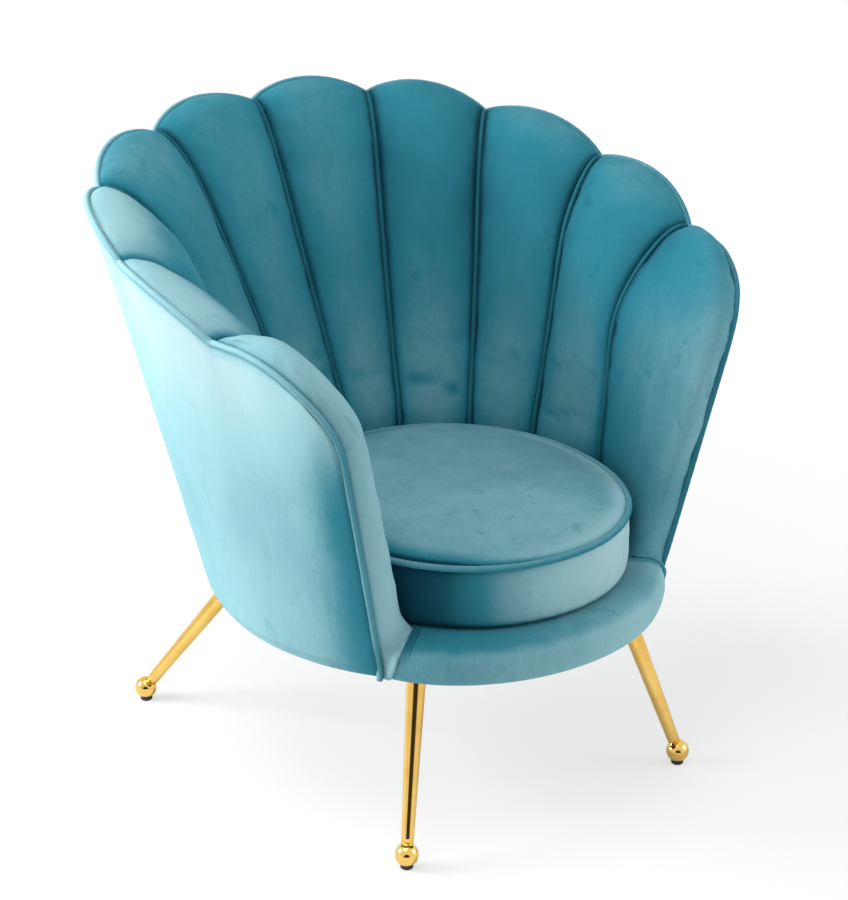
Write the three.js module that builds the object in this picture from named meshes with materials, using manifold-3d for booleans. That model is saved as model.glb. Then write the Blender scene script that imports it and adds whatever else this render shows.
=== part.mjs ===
// Scallop back tub chair: a channelled velvet shell on a round base with four splayed legs.
// Millimetres, +Z up. The sitter faces -Y, so the sitter's left is +X.
// Plan angles are degrees from the middle of the back, round towards the wings.
import * as THREE from 'three';
import Module from 'manifold-3d';
import { mergeVertices } from 'three/addons/utils/BufferGeometryUtils.js';

const wasm = await Module();
wasm.setup();

const { clamp, degToRad, lerp, radToDeg } = THREE.MathUtils;

// Overall shell
const FLOOR_CLEARANCE = 232;
const BACK_RISE = 536;
const WING_RISE = 419;
const BASE_RADIUS = 274;
const BASE_REAR_SWELL = 38;
const BASE_ROUND = 14;
const BACK_RAKE = 14.4;
const WING_SEAM_RIM_ANGLE = 96.3;
const WING_SEAM_SEAT_ANGLE = 102;
const CORNER_START_ANGLE = 104;
const CORNER_END_ANGLE = 124.4;
const FRONT_EDGE_BASE_ANGLE = 127.6;
const CORNER_DROP = 112;
const SCALLOP_RISE = 20;
const SCALLOP_FLARE = 7;

// Padding
const CHANNELS_TO_WING = 4;
const ARM_THICKNESS = 104;
const ROLL_DROP = 122;
const ROLL_REACH = 34;
const ROLL_DEPTH = 60;
const CHANNEL_CROWN = 21;
const SEAT_CROWN = 8;
const WING_NOSE = 62;
const WING_CROWN = 21;
const SEAM_GAP = 0.5;

// Piping
const RIM_WELT_RADIUS = 4.75;
const CHANNEL_WELT_RADIUS = 4;
const CUSHION_WELT_RADIUS = 5;
const CHANNEL_WELT_PROUD = 1.5;

// Outside cover
const COVER_THICKNESS = 5;
const COVER_TURN_UNDER = 47;
const COVER_FOLD_THICKNESS = 3.5;
const FOLD_EASE = 4.5;

// Seat cushion
const CUSHION_THICKNESS = 81;
const CUSHION_CROWN = 20;
const CUSHION_SIDE_INSET = 66;
const CUSHION_FRONT_INSET = 42;
const CUSHION_REAR_INSET = 50;
const CUSHION_CENTRE_FORWARD = 21;
const CUSHION_FULLNESS = 2.1;
const CUSHION_DRAW_IN = 2.5;
const CUSHION_FOOT_ROUND = 14;
const CUSHION_EASE = 1;

// Front rail and deck
const RAIL_NOSE = 13;
const RAIL_SHOULDER = 24;
const RAIL_CHIN = 9;
const DECK_LAP = 9;
const DECK_THICKNESS = 14.4;
const DECK_ROUND = 3;

// Inner frame
const FRAME_DEPTH = 18;
const FRAME_SETBACK = 30;
const FRAME_WIDTH = 45;
const RIB_WIDTH = 46;
const RING_HEIGHT = 35.5;
const RING_WIDTH = 84;
const SPRING_COUNT = 4;
const SPRING_SPACING = 78;
const SPRING_WIRE_RADIUS = 1.75;
const SPRING_WAVE = 22;
const SPRING_PITCH = 72;
const DUST_COVER_THICKNESS = 1.6;

// Legs
const FRONT_LEG_ANGLE = 135.3;
const REAR_LEG_ANGLE = 36.6;
const FRONT_LEG_INSET = 50.5;
const REAR_LEG_INSET = 16.5;
const FRONT_LEG_SPREAD = 82;
const REAR_LEG_SPREAD = 161.5;
const LEG_TOP_THICKNESS = 24;
const LEG_END_THICKNESS = 15.2;
const BALL_RADIUS = 14.6;
const BALL_CENTRE_HEIGHT = 18;
const GLIDE_RADIUS = 8;
const GLIDE_HEIGHT = 7;
const GLIDE_EDGE = 1.2;
const PLATE_LENGTH = 50;
const PLATE_SHIFT = 9;
const PLATE_WIDTH = 44;
const PLATE_THICKNESS = 3;
const PLATE_CORNER = 8;
const STUD_RADIUS = 4;
const STUD_LENGTH = 30;

// Clearances
const GAP = 0.3;
const PAD_CLEARANCE = 0.8;
const OVERRUN = 40;
const DIAGONAL_TIE = 0.001;

// Levels and radii that follow from the sizes above
const BACK_HEIGHT = FLOOR_CLEARANCE + BACK_RISE;
const WING_HEIGHT = FLOOR_CLEARANCE + WING_RISE;
const FOLD_TOP = FLOOR_CLEARANCE + COVER_FOLD_THICKNESS;
const RING_BOTTOM = FOLD_TOP + GAP;
const RING_TOP = RING_BOTTOM + RING_HEIGHT;
const RING_SHOULDER = FLOOR_CLEARANCE + BASE_ROUND;
const PAD_FOOT = RING_TOP + GAP;
const DECK_TOP = PAD_FOOT + DECK_THICKNESS;
const SEAT_HEIGHT = DECK_TOP + CUSHION_THICKNESS;
const TURN_UNDER_RADIUS = BASE_RADIUS - COVER_TURN_UNDER;
const RING_INNER_RADIUS = BASE_RADIUS - RING_WIDTH;
const DECK_RADIUS = RING_INNER_RADIUS + DECK_LAP;
const CUSHION_HALF_WIDTH = BASE_RADIUS - CUSHION_SIDE_INSET;
const CUSHION_FRONT = BASE_RADIUS - CUSHION_FRONT_INSET;
const CUSHION_REAR = BASE_RADIUS - CUSHION_REAR_INSET;
const FRONT_LEG_TOP_RADIUS = BASE_RADIUS - FRONT_LEG_INSET;
const REAR_LEG_TOP_RADIUS = BASE_RADIUS - REAR_LEG_INSET;
const FRONT_FOOT_RADIUS = FRONT_LEG_TOP_RADIUS + FRONT_LEG_SPREAD;
const REAR_FOOT_RADIUS = REAR_LEG_TOP_RADIUS + REAR_LEG_SPREAD;
const SEAT_PINCH = SEAT_HEIGHT + CUSHION_WELT_RADIUS + SEAT_CROWN;

// Shares of the spans that they name
const rimSeamShares = [0, 0.232, 0.454, 0.707, 1];
const seatSeamShares = [0, 0.2, 0.449, 0.69, 1];
const rimHeightShares = [1, 0.92, 0.69, 0.38, 0];
const shoulderThicknessShares = [0.48, 0.58, 0.73, 0.86, 0.94];
const shoulderDropShares = [0.57, 0.56, 0.54, 0.72, 1];
const rakeAngleShares = [0, 0.175, 0.343, 0.534, 0.755, 0.815, 0.885, 0.94, 1];
const rakeShares = [0.874, 0.945, 1.02, 0.92, 0.79, 0.806, 0.887, 0.96, 0.945];
const baseSwellShares = [1, 0.96, 0.79, 0.37, 0.13, 0.08, 0.05, 0.03, 0];
const crownWidthShares = [0.125, 0.3, 0.5, 0.7, 0.875];
const ribAngleShares = [-0.84, -0.44, 0, 0.44, 0.84];

const VELVET = { color: 0x4c96a6, roughness: 0.75, metalness: 0 };
const PIPING = { color: 0x3d8798, roughness: 0.7, metalness: 0 };
const PLYWOOD = { color: 0xc9a673, roughness: 0.7, metalness: 0 };
const GOLD = { color: 0xe0af45, roughness: 0.12, metalness: 1 };
const STEEL = { color: 0x8d9093, roughness: 0.4, metalness: 1 };
const BLACK_CLOTH = { color: 0x1c1c1e, roughness: 0.95, metalness: 0 };
const BLACK_PLASTIC = { color: 0x141414, roughness: 0.5, metalness: 0 };

const chair = new THREE.Group();

function addPiece(name, geometry, look, parent = chair) {
  const piece = new THREE.Mesh(geometry, new THREE.MeshStandardMaterial(look));
  piece.name = name;
  parent.add(piece);
  return piece;
}

const inPlan = (radius, angle, height) => new THREE.Vector3(
  radius * Math.sin(degToRad(angle)), radius * Math.cos(degToRad(angle)), height);
const arcAngle = (length, radius) => radToDeg(length / radius);
const range = (count) => Array.from({ length: count }, (_, index) => index);

function smoothTable(positions, values) {
  const curve = new THREE.CubicInterpolant(positions, values, 1, new Float64Array(1));
  return (position) => curve.evaluate(clamp(position, positions[0], positions.at(-1)))[0];
}

// Surface of a stack of closed outlines that all have the same number of points.
// Each four-sided facet is split along its shorter diagonal.
function loft(rings, loop = false) {
  const size = rings[0].length;
  const points = rings.flat();
  const indices = [];
  for (let row = 0; row < rings.length - (loop ? 0 : 1); row += 1) {
    const next = (row + 1) % rings.length;
    for (let side = 0; side < size; side += 1) {
      const turn = (side + 1) % size;
      const [a, b, c, d] = [row * size + side, row * size + turn, next * size + turn, next * size + side];
      const straight = points[a].distanceTo(points[c]) <= points[b].distanceTo(points[d]) + DIAGONAL_TIE;
      indices.push(...(straight ? [a, b, c, a, c, d] : [a, b, d, b, c, d]));
    }
  }
  if (!loop) {
    indices.push(...capOutline(rings[0], -1, 0));
    indices.push(...capOutline(rings.at(-1), 1, (rings.length - 1) * size));
  }
  const geometry = new THREE.BufferGeometry().setFromPoints(points);
  geometry.setIndex(indices);
  return facingOut(geometry);
}

function capOutline(outline, turn, first) {
  const normal = new THREE.Vector3();
  outline.forEach((point, index) => {
    normal.add(new THREE.Vector3().crossVectors(point, outline[(index + 1) % outline.length]));
  });
  const flatten = new THREE.Quaternion().setFromUnitVectors(normal.normalize(), new THREE.Vector3(0, 0, 1));
  const flat = outline.map((point) => {
    const turned = point.clone().applyQuaternion(flatten);
    return new THREE.Vector2(turned.x, turned.y);
  });
  return THREE.ShapeUtils.triangulateShape(flat, []).flatMap(([a, b, c]) => {
    const area = THREE.ShapeUtils.area([flat[a], flat[b], flat[c]]);
    return (area * turn > 0 ? [a, b, c] : [a, c, b]).map((index) => first + index);
  });
}

function facingOut(geometry) {
  const position = geometry.attributes.position;
  const index = geometry.index.array;
  const [a, b, c] = [new THREE.Vector3(), new THREE.Vector3(), new THREE.Vector3()];
  let volume = 0;
  for (let corner = 0; corner < index.length; corner += 3) {
    a.fromBufferAttribute(position, index[corner]);
    b.fromBufferAttribute(position, index[corner + 1]);
    c.fromBufferAttribute(position, index[corner + 2]);
    volume += a.dot(b.cross(c));
  }
  return volume < 0 ? turnedOver(geometry) : geometry;
}

function turnedOver(geometry) {
  const index = geometry.index.array;
  for (let corner = 0; corner < index.length; corner += 3) {
    [index[corner + 1], index[corner + 2]] = [index[corner + 2], index[corner + 1]];
  }
  return geometry;
}

const mirrored = (geometry) => turnedOver(geometry.clone().scale(-1, 1, 1));

function toSolid(geometry) {
  const bare = geometry.clone();
  bare.deleteAttribute('normal');
  bare.deleteAttribute('uv');
  const merged = mergeVertices(bare);
  return new wasm.Manifold(new wasm.Mesh({
    numProp: 3,
    vertProperties: new Float32Array(merged.attributes.position.array),
    triVerts: new Uint32Array(merged.index.array),
  }));
}

function toGeometry(solid) {
  const { vertProperties, triVerts } = solid.getMesh();
  const geometry = new THREE.BufferGeometry();
  geometry.setAttribute('position', new THREE.BufferAttribute(vertProperties, 3));
  geometry.setIndex(Array.from(triVerts));
  return geometry;
}

// Outside wall and rim

const HALF_TURN = 180;
const rakeAngles = rakeAngleShares.map((share) => share * FRONT_EDGE_BASE_ANGLE);
const rakeShareAt = smoothTable(rakeAngles, rakeShares);
const baseSwellShareAt = smoothTable(rakeAngles, baseSwellShares);
const rimHeightAt = smoothTable(
  rimSeamShares.map((share) => share * WING_SEAM_RIM_ANGLE),
  rimHeightShares.map((share) => lerp(WING_HEIGHT, BACK_HEIGHT, share)));
const baseRadius = (angle) => BASE_RADIUS + BASE_REAR_SWELL * baseSwellShareAt(Math.abs(angle));
const wallRadius = (angle, height) => baseRadius(angle)
  + (height - FLOOR_CLEARANCE) * Math.tan(degToRad(BACK_RAKE)) * rakeShareAt(Math.abs(angle));
const coverInside = (angle, height) => wallRadius(angle, height) - COVER_THICKNESS;
const frameOutside = (angle, height) => coverInside(angle, height) - PAD_CLEARANCE;
const frameInside = (angle, height) => frameOutside(angle, height) - FRAME_DEPTH;

const GROOVE_STEP = 45;
const grooveRadius = (weltRadius) => (weltRadius + GAP) / Math.cos(degToRad(GROOVE_STEP / 2));
const RIM_GROOVE = grooveRadius(RIM_WELT_RADIUS);
const CHANNEL_GROOVE = grooveRadius(CHANNEL_WELT_RADIUS);
const CUSHION_GROOVE = grooveRadius(CUSHION_WELT_RADIUS);
const PAD_SIDE_START = 160;
const PAD_SIDE_END = PAD_SIDE_START + 2 * GROOVE_STEP;
const COVER_SIDE_START = 275;
const COVER_SIDE_END = COVER_SIDE_START + GROOVE_STEP;
const WELT_INSET = RIM_GROOVE * Math.cos(degToRad(COVER_SIDE_END));
const RING_INSET = WELT_INSET + RIM_WELT_RADIUS + PAD_CLEARANCE;
const ringOutside = (angle, height) => (Math.abs(angle) > CORNER_END_ANGLE
  ? baseRadius(angle) : wallRadius(angle, height)) - RING_INSET;
const ringFoot = (angle) => baseRadius(angle) - BASE_ROUND - PAD_CLEARANCE;

const scallop = (share) => (1 - (2 * share - 1) ** 2) ** 0.9;
const rimSeamAngle = (seam) => rimSeamShares[seam] * WING_SEAM_RIM_ANGLE;
const seatSeamAngle = (seam) => seatSeamShares[seam] * WING_SEAM_SEAT_ANGLE;

function rimPoint(channel, share) {
  const angle = lerp(rimSeamAngle(channel), rimSeamAngle(channel + 1), share);
  const height = rimHeightAt(angle) + SCALLOP_RISE * scallop(share);
  const radius = wallRadius(angle, height) - WELT_INSET + SCALLOP_FLARE * scallop(share);
  return { angle, height, radius, turn: 0, mark: channel + share };
}

// The wing's edge runs level, round a full corner and down the front to the base.
// turn is 0 degrees where the edge runs level and 90 where it runs down.
const CORNER_FULLNESS = 1.85;
const CORNER_END_HEIGHT = WING_HEIGHT - CORNER_DROP;
const cornerPower = (value) => Math.abs(value) ** (2 / CORNER_FULLNESS);

const frontEdgeAngle = (height) => lerp(FRONT_EDGE_BASE_ANGLE, CORNER_END_ANGLE,
  (height - FLOOR_CLEARANCE) / (CORNER_END_HEIGHT - FLOOR_CLEARANCE));

function wingEdgePoint(angle, height, turn, mark) {
  return { angle, height, radius: wallRadius(angle, height) - WELT_INSET, turn, mark };
}

const wingTopShares = [0.3, 0.68];
const cornerTurns = [0, 22, 44, 62, 77, 90];
const frontDropShares = [0.2, 0.42, 0.63, 0.83, 1];

function wingEdge() {
  const top = wingTopShares.map((share) => wingEdgePoint(
    lerp(WING_SEAM_RIM_ANGLE, CORNER_START_ANGLE, share), WING_HEIGHT, 0));
  const corner = cornerTurns.map((turn) => wingEdgePoint(
    lerp(CORNER_START_ANGLE, CORNER_END_ANGLE, cornerPower(Math.sin(degToRad(turn)))),
    lerp(CORNER_END_HEIGHT, WING_HEIGHT, cornerPower(Math.cos(degToRad(turn)))), turn));
  const front = frontDropShares.map((share) => {
    const height = lerp(CORNER_END_HEIGHT, DECK_TOP + 2 * GAP, share);
    return wingEdgePoint(frontEdgeAngle(height), height, 90);
  });
  const end = wingEdgePoint(frontEdgeAngle(RING_SHOULDER), RING_SHOULDER, 90);
  const edge = [...top, ...corner, ...front, end];
  edge.forEach((point, index) => { point.mark = CHANNELS_TO_WING + (index + 1) / edge.length; });
  return edge;
}

const WING_ROWS = wingTopShares.length + cornerTurns.length + frontDropShares.length;

// One side of the edge, from the middle of the back to the foot of the wing, with its frames
const edgeLine = (() => {
  const points = [];
  for (const channel of range(CHANNELS_TO_WING)) {
    const width = (rimSeamAngle(channel + 1) - rimSeamAngle(channel));
    const near = arcAngle(CHANNEL_GROOVE, rimPoint(channel, 0).radius) / width;
    for (const share of [0, near, ...crownWidthShares, 1 - near]) {
      points.push(rimPoint(channel, share));
    }
  }
  points.push(rimPoint(CHANNELS_TO_WING - 1, 1), ...wingEdge());
  points.forEach((point) => { point.place = inPlan(point.radius, point.angle, point.height); });
  points.forEach((point, index) => {
    const ahead = points[Math.min(index + 1, points.length - 1)].place;
    const behind = index ? points[index - 1].place : ahead.clone().multiply(new THREE.Vector3(-1, 1, 1));
    point.along = ahead.clone().sub(behind).normalize();
    point.out = inPlan(1, point.angle, 0);
    point.out.addScaledVector(point.along, -point.out.dot(point.along)).normalize();
    point.up = new THREE.Vector3().crossVectors(point.along, point.out);
  });
  return points;
})();

function edgeAt(mark) {
  const after = Math.max(1, edgeLine.findIndex((point) => point.mark >= mark - 1e-9));
  const [a, b] = [edgeLine[after - 1], edgeLine[after]];
  const share = clamp((mark - a.mark) / (b.mark - a.mark), 0, 1);
  const mix = (key) => a[key].clone().lerp(b[key], share);
  return { place: mix('place'), out: mix('out').normalize(), up: mix('up').normalize() };
}

function roundEdge(frame, radius, degrees) {
  const turn = degToRad(degrees);
  return frame.place.clone()
    .addScaledVector(frame.out, radius * Math.cos(turn))
    .addScaledVector(frame.up, radius * Math.sin(turn));
}

// Seat cushion outline in plan, round the middle of the base

function cushionOutline(turn, inset = 0) {
  const [side, ahead] = [Math.sin(turn), Math.cos(turn)];
  const depth = (ahead > 0 ? CUSHION_REAR : CUSHION_FRONT) - inset;
  const swell = (Math.abs(side) ** CUSHION_FULLNESS + Math.abs(ahead) ** CUSHION_FULLNESS)
    ** (-1 / CUSHION_FULLNESS);
  return new THREE.Vector2((CUSHION_HALF_WIDTH - inset) * side * swell,
    depth * ahead * swell - CUSHION_CENTRE_FORWARD);
}

const cushionReachAt = (() => {
  const samples = range(181).map((index) => cushionOutline(degToRad(index)));
  const angles = samples.map((point) => radToDeg(Math.atan2(point.x, point.y)));
  return smoothTable(angles, samples.map((point) => point.length()));
})();
const seatRadius = (angle) => cushionReachAt(Math.abs(angle)) + SEAT_CROWN + CUSHION_EASE;

// Seams between the channels: from the rim, over the roll, down the wall to the foot

const ROLL_STEPS = 5;
const WALL_STEPS = 4;
const PAD_ROWS = ROLL_STEPS + WALL_STEPS + 2;

function seamLine(seam) {
  const rim = edgeAt(seam);
  const start = roundEdge(rim, RIM_GROOVE, PAD_SIDE_START);
  const rimRadius = Math.hypot(start.x, start.y);
  const shoulderHeight = rimHeightAt(rimSeamAngle(seam)) - ROLL_DROP * shoulderDropShares[seam];
  const seamAngle = (height) => lerp(rimSeamAngle(seam), seatSeamAngle(seam),
    clamp((start.z - height) / (start.z - SEAT_PINCH), 0, 1));
  const shoulder = new THREE.Vector2(
    wallRadius(seamAngle(shoulderHeight), shoulderHeight) - ARM_THICKNESS * shoulderThicknessShares[seam],
    shoulderHeight);
  const pinch = new THREE.Vector2(seatRadius(seatSeamAngle(seam)), SEAT_PINCH);
  const rise = shoulder.clone().sub(pinch).normalize();
  const rollShare = shoulderThicknessShares[seam];
  const roll = new THREE.CubicBezierCurve(
    new THREE.Vector2(rimRadius, start.z),
    new THREE.Vector2(rimRadius - ROLL_REACH * rollShare, start.z + ROLL_REACH * rollShare / 8),
    shoulder.clone().addScaledVector(rise, ROLL_DEPTH * shoulderDropShares[seam]),
    shoulder);
  const points = [];
  range(ROLL_STEPS + 1).forEach((step) => {
    const share = step / ROLL_STEPS;
    const tangent = roll.getTangent(share);
    points.push({ at: roll.getPoint(share), normal: new THREE.Vector2(tangent.y, -tangent.x) });
  });
  range(WALL_STEPS).forEach((step) => {
    const share = (step + 1) / WALL_STEPS;
    points.push({ at: shoulder.clone().lerp(pinch, share), normal: new THREE.Vector2(-rise.y, rise.x) });
  });
  points.at(-1).normal.set(-1, 0);
  points.push({ at: new THREE.Vector2(pinch.x, PAD_FOOT), normal: new THREE.Vector2(-1, 0) });
  return points.map(({ at, normal }, row) => ({
    radius: at.x,
    height: at.y,
    angle: seamAngle(at.y),
    normal,
    crown: row <= ROLL_STEPS ? CHANNEL_CROWN
      : lerp(CHANNEL_CROWN, SEAT_CROWN, Math.min((row - ROLL_STEPS) / WALL_STEPS, 1)),
  }));
}

const seamLines = range(CHANNELS_TO_WING + 1).map(seamLine);

function mixStations(a, b, share) {
  return {
    radius: lerp(a.radius, b.radius, share),
    height: lerp(a.height, b.height, share),
    angle: lerp(a.angle, b.angle, share),
    normal: a.normal.clone().lerp(b.normal, share).normalize(),
    crown: lerp(a.crown, b.crown, share),
  };
}

function seamStation(seam, row) {
  const line = seamLines[seam];
  const before = Math.min(Math.floor(row), line.length - 2);
  return mixStations(line[before], line[before + 1], row - before);
}

function seamRowAtHeight(seam, height) {
  const line = seamLines[seam];
  const after = line.findIndex((station, row) => row > 1 && station.height <= height);
  const [a, b] = [line[after - 1], line[after]];
  return after - 1 + (a.height - height) / (a.height - b.height);
}

// Point beside a seam: lateral runs along the angle, height runs out of the padding
function beside(station, lateral, rise) {
  const radius = station.radius + station.normal.x * rise;
  const height = station.height + station.normal.y * rise;
  return inPlan(radius, station.angle + arcAngle(lateral, station.radius), height);
}

const seamGrooveTurns = [270, 320, 10];
const NOTCH_EASE = 1;
const DEEPEST_NOTCH_SHARE = 0.9;

function seamGroove(station, side) {
  return seamGrooveTurns.map((degrees) => {
    const turn = degToRad(degrees);
    const lateral = Math.max(CHANNEL_GROOVE * Math.cos(turn), SEAM_GAP);
    return beside(station, side * lateral, CHANNEL_WELT_PROUD + CHANNEL_GROOVE * Math.sin(turn));
  });
}

// Back of the padding: under the rim piping, over the frame's top and down its inside

const frameTopAngles = range(2 * CHANNELS_TO_WING + 1).map((half) => (
  rimSeamAngle(Math.floor(half / 2)) + rimSeamAngle(Math.ceil(half / 2))) / 2);
const frameTop = new THREE.LinearInterpolant(
  frameTopAngles, frameTopAngles.map((angle) => rimHeightAt(angle) - FRAME_SETBACK), 1, [0]);
const frameTopAt = (angle) => frameTop.evaluate(Math.min(Math.abs(angle), WING_SEAM_RIM_ANGLE))[0];

function padBack(angle, mark, row) {
  if (row < 2) {
    return roundEdge(edgeAt(mark), RIM_GROOVE, row ? PAD_SIDE_END : PAD_SIDE_START + GROOVE_STEP);
  }
  const top = frameTopAt(angle) + PAD_CLEARANCE;
  if (row === 2) {
    return inPlan(coverInside(angle, top) - PAD_CLEARANCE, angle, top);
  }
  const height = lerp(top, PAD_FOOT, (row - 3) / (PAD_ROWS - 4));
  return inPlan(frameInside(angle, height) - PAD_CLEARANCE, angle, height);
}

function channelPad(channel) {
  const [near, far] = [seamLines[channel], seamLines[channel + 1]];
  const rings = range(PAD_ROWS).map((row) => {
    const [a, b] = [near[row], far[row]];
    const width = (b.angle - a.angle);
    const front = row === 0 ? rimFront(channel, width, a.radius) : [
      ...seamGroove(a, 1),
      ...crownWidthShares.map((share) => {
        const station = mixStations(a, b, share);
        return beside(station, 0, station.crown * scallop(share));
      }),
      ...seamGroove(b, -1).reverse(),
    ];
    const edge = arcAngle(SEAM_GAP, a.radius);
    const back = [[b.angle - edge, 1 - edge / width], [lerp(a.angle, b.angle, 0.5), 0.5],
      [a.angle + edge, edge / width]];
    return [...front, ...back.map(([angle, share]) => padBack(angle, channel + share, row))];
  });
  return loft(rings);
}

function rimFront(channel, width, radius) {
  const nearShares = [SEAM_GAP, CHANNEL_GROOVE * Math.cos(degToRad(40)), CHANNEL_GROOVE]
    .map((length) => arcAngle(length, radius) / width);
  const notch = seamGrooveTurns.map(rimNotchTurn);
  return [
    ...nearShares.map((share, index) => [share, notch[index]]),
    ...crownWidthShares.map((share) => [share, PAD_SIDE_START]),
    ...nearShares.map((share, index) => [1 - share, notch[index]]).reverse(),
  ].map(([share, degrees]) => roundEdge(edgeAt(channel + share), RIM_GROOVE, degrees));
}

// How far round the rim piping the padding is cut back to let the seam's own piping in
function rimNotchTurn(grooveTurn) {
  const drop = Math.min(0, CHANNEL_WELT_PROUD + CHANNEL_GROOVE * Math.sin(degToRad(grooveTurn)));
  const turn = 180 - radToDeg(Math.asin(
    Math.sin(degToRad(PAD_SIDE_START)) + (drop - NOTCH_EASE) / RIM_GROOVE));
  return Math.min(turn, PAD_SIDE_START + GROOVE_STEP * DEEPEST_NOTCH_SHARE);
}

// Wing padding: slices that run from the last seam round the front to the edge piping

const wingSeamRows = [0.4, 0.8, 1.4, 2, 2.7, 3.35];

function frameEdge(point, setback, radiusAt) {
  const turn = degToRad(point.turn);
  const angle = point.angle - arcAngle(setback * Math.sin(turn), point.radius);
  const height = point.height - setback * Math.cos(turn);
  return inPlan(radiusAt(angle, height), angle, height);
}

const ARCH_POINTS = 7;
const WING_CLEARANCE = 3.5 * PAD_CLEARANCE;
const NOSE_GROWTH_SHARE = 0.45;
const CROWN_PRESS_SHARE = 1.5;

function wingPad() {
  const wing = CHANNELS_TO_WING;
  const start = edgeLine.findIndex((point) => point.mark > wing);
  const rows = range(WING_ROWS).map((index) => {
    const edge = edgeLine[start + index];
    const row = index < wingSeamRows.length ? wingSeamRows[index] : seamRowAtHeight(wing, edge.height);
    return { edge, row, station: seamStation(wing, row) };
  });
  const middles = rows.map(({ edge, station }) => beside(station, 0, 0).lerp(edge.place, 0.5));
  const rings = rows.map(({ edge, row, station }, index) => {
    const groove = seamGroove(station, 1);
    const end = roundEdge(edge, RIM_GROOVE, PAD_SIDE_START);
    const chord = end.clone().sub(groove[2]);
    const down = middles[Math.min(index + 1, rows.length - 1)].clone()
      .sub(middles[Math.max(index - 1, 0)]);
    const bulge = new THREE.Vector3().crossVectors(down, chord).normalize();
    const reach = Math.min(1, chord.length() / ARM_THICKNESS);
    const low = clamp((CORNER_END_HEIGHT - edge.height) / (CORNER_END_HEIGHT - DECK_TOP), 0, 1);
    const nose = WING_NOSE * reach * (1 + NOSE_GROWTH_SHARE * low);
    const crown = WING_CROWN * reach * (1 - CROWN_PRESS_SHARE * low);
    const arch = new THREE.CubicBezierCurve3(groove[2],
      groove[2].clone().addScaledVector(chord, 0.4).addScaledVector(bulge, crown),
      end.clone().addScaledVector(bulge, nose).addScaledVector(chord, 0.12), end);
    const back = seamStationBack(wing, Math.max(row, 3));
    return [
      ...groove,
      ...range(ARCH_POINTS).map((step) => arch.getPoint((step + 1) / (ARCH_POINTS + 1))),
      end,
      roundEdge(edge, RIM_GROOVE, PAD_SIDE_START + GROOVE_STEP),
      roundEdge(edge, RIM_GROOVE, PAD_SIDE_END),
      frameEdge(edge, FRAME_SETBACK - PAD_CLEARANCE,
        (angle, height) => coverInside(angle, height) - WING_CLEARANCE),
      frameEdge(edge, FRAME_SETBACK - PAD_CLEARANCE,
        (angle, height) => frameInside(angle, height) - WING_CLEARANCE),
      back,
    ];
  });
  return loft(rings);
}

function seamStationBack(seam, row) {
  const station = seamStation(seam, row);
  const before = Math.floor(row);
  const after = Math.min(before + 1, PAD_ROWS - 1);
  const angle = station.angle + arcAngle(SEAM_GAP, station.radius);
  return padBack(angle, seam, before).lerp(padBack(angle, seam, after), row - before);
}

// Piping: rings that keep to the same stations as the padding beside them

const WELT_SIDES = 6;
const weltTurns = range(WELT_SIDES).map((side) => (side * 360) / WELT_SIDES);
const flipped = (ring) => ring.map((point) => point.clone().multiply(new THREE.Vector3(-1, 1, 1)));
const CHANNEL_WELT_START = 0.22;

function channelWelt(seam) {
  const rows = [CHANNEL_WELT_START, ...range(PAD_ROWS - 1).map((row) => row + 1)];
  return loft(rows.map((row) => {
    const station = seamStation(seam, row);
    return weltTurns.map((degrees) => beside(station, CHANNEL_WELT_RADIUS * Math.cos(degToRad(degrees)),
      CHANNEL_WELT_PROUD + CHANNEL_WELT_RADIUS * Math.sin(degToRad(degrees))));
  }));
}

function rimWelt() {
  const rings = edgeLine.map((frame) => weltTurns.map(
    (degrees) => roundEdge(frame, RIM_WELT_RADIUS, degrees)));
  const drop = new THREE.Vector3(0, 0, GAP - BASE_ROUND);
  rings.push(rings.at(-1).map((point) => point.clone().add(drop)));
  return loft([...rings.slice(1).reverse().map(flipped), ...rings]);
}

// Outside cover: columns round the shell, each a closed outline from the rim to the turned-under edge

function outsideCover() {
  const wing = edgeLine.findIndex((point) => point.mark > CHANNELS_TO_WING);
  const corner = wing + wingTopShares.length + 2;
  const frontRows = [0, 1, 2, 3, 5, 8, 9].map((step) => edgeLine[corner + step]);
  const endFront = frontRows.at(-1);
  const seams = range(CHANNELS_TO_WING + 1);
  const marks = seams.flatMap((seam) => (seam < CHANNELS_TO_WING
    ? [seam, ...crownWidthShares.map((share) => seam + share)] : [seam]));
  const columns = [
    ...marks.map((mark) => ({ mark, flare: scallop(mark % 1) })),
    ...edgeLine.slice(wing, corner).map((point) => ({ mark: point.mark, flare: 0 })),
  ];
  const rings = columns.map(({ mark, flare }) => coverColumn(mark, flare, frontRows));
  rings.push([
    ...frontRows.map((point) => roundEdge(point, RIM_GROOVE, COVER_SIDE_END)),
    ...coverFold(endFront.angle - arcAngle(RIM_GROOVE + FOLD_EASE, endFront.radius)),
    ...frontRows.map((point) => roundEdge(point, RIM_GROOVE, COVER_SIDE_START)).reverse(),
  ]);
  return loft([...rings.slice(1).reverse().map(flipped), ...rings]);
}

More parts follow.
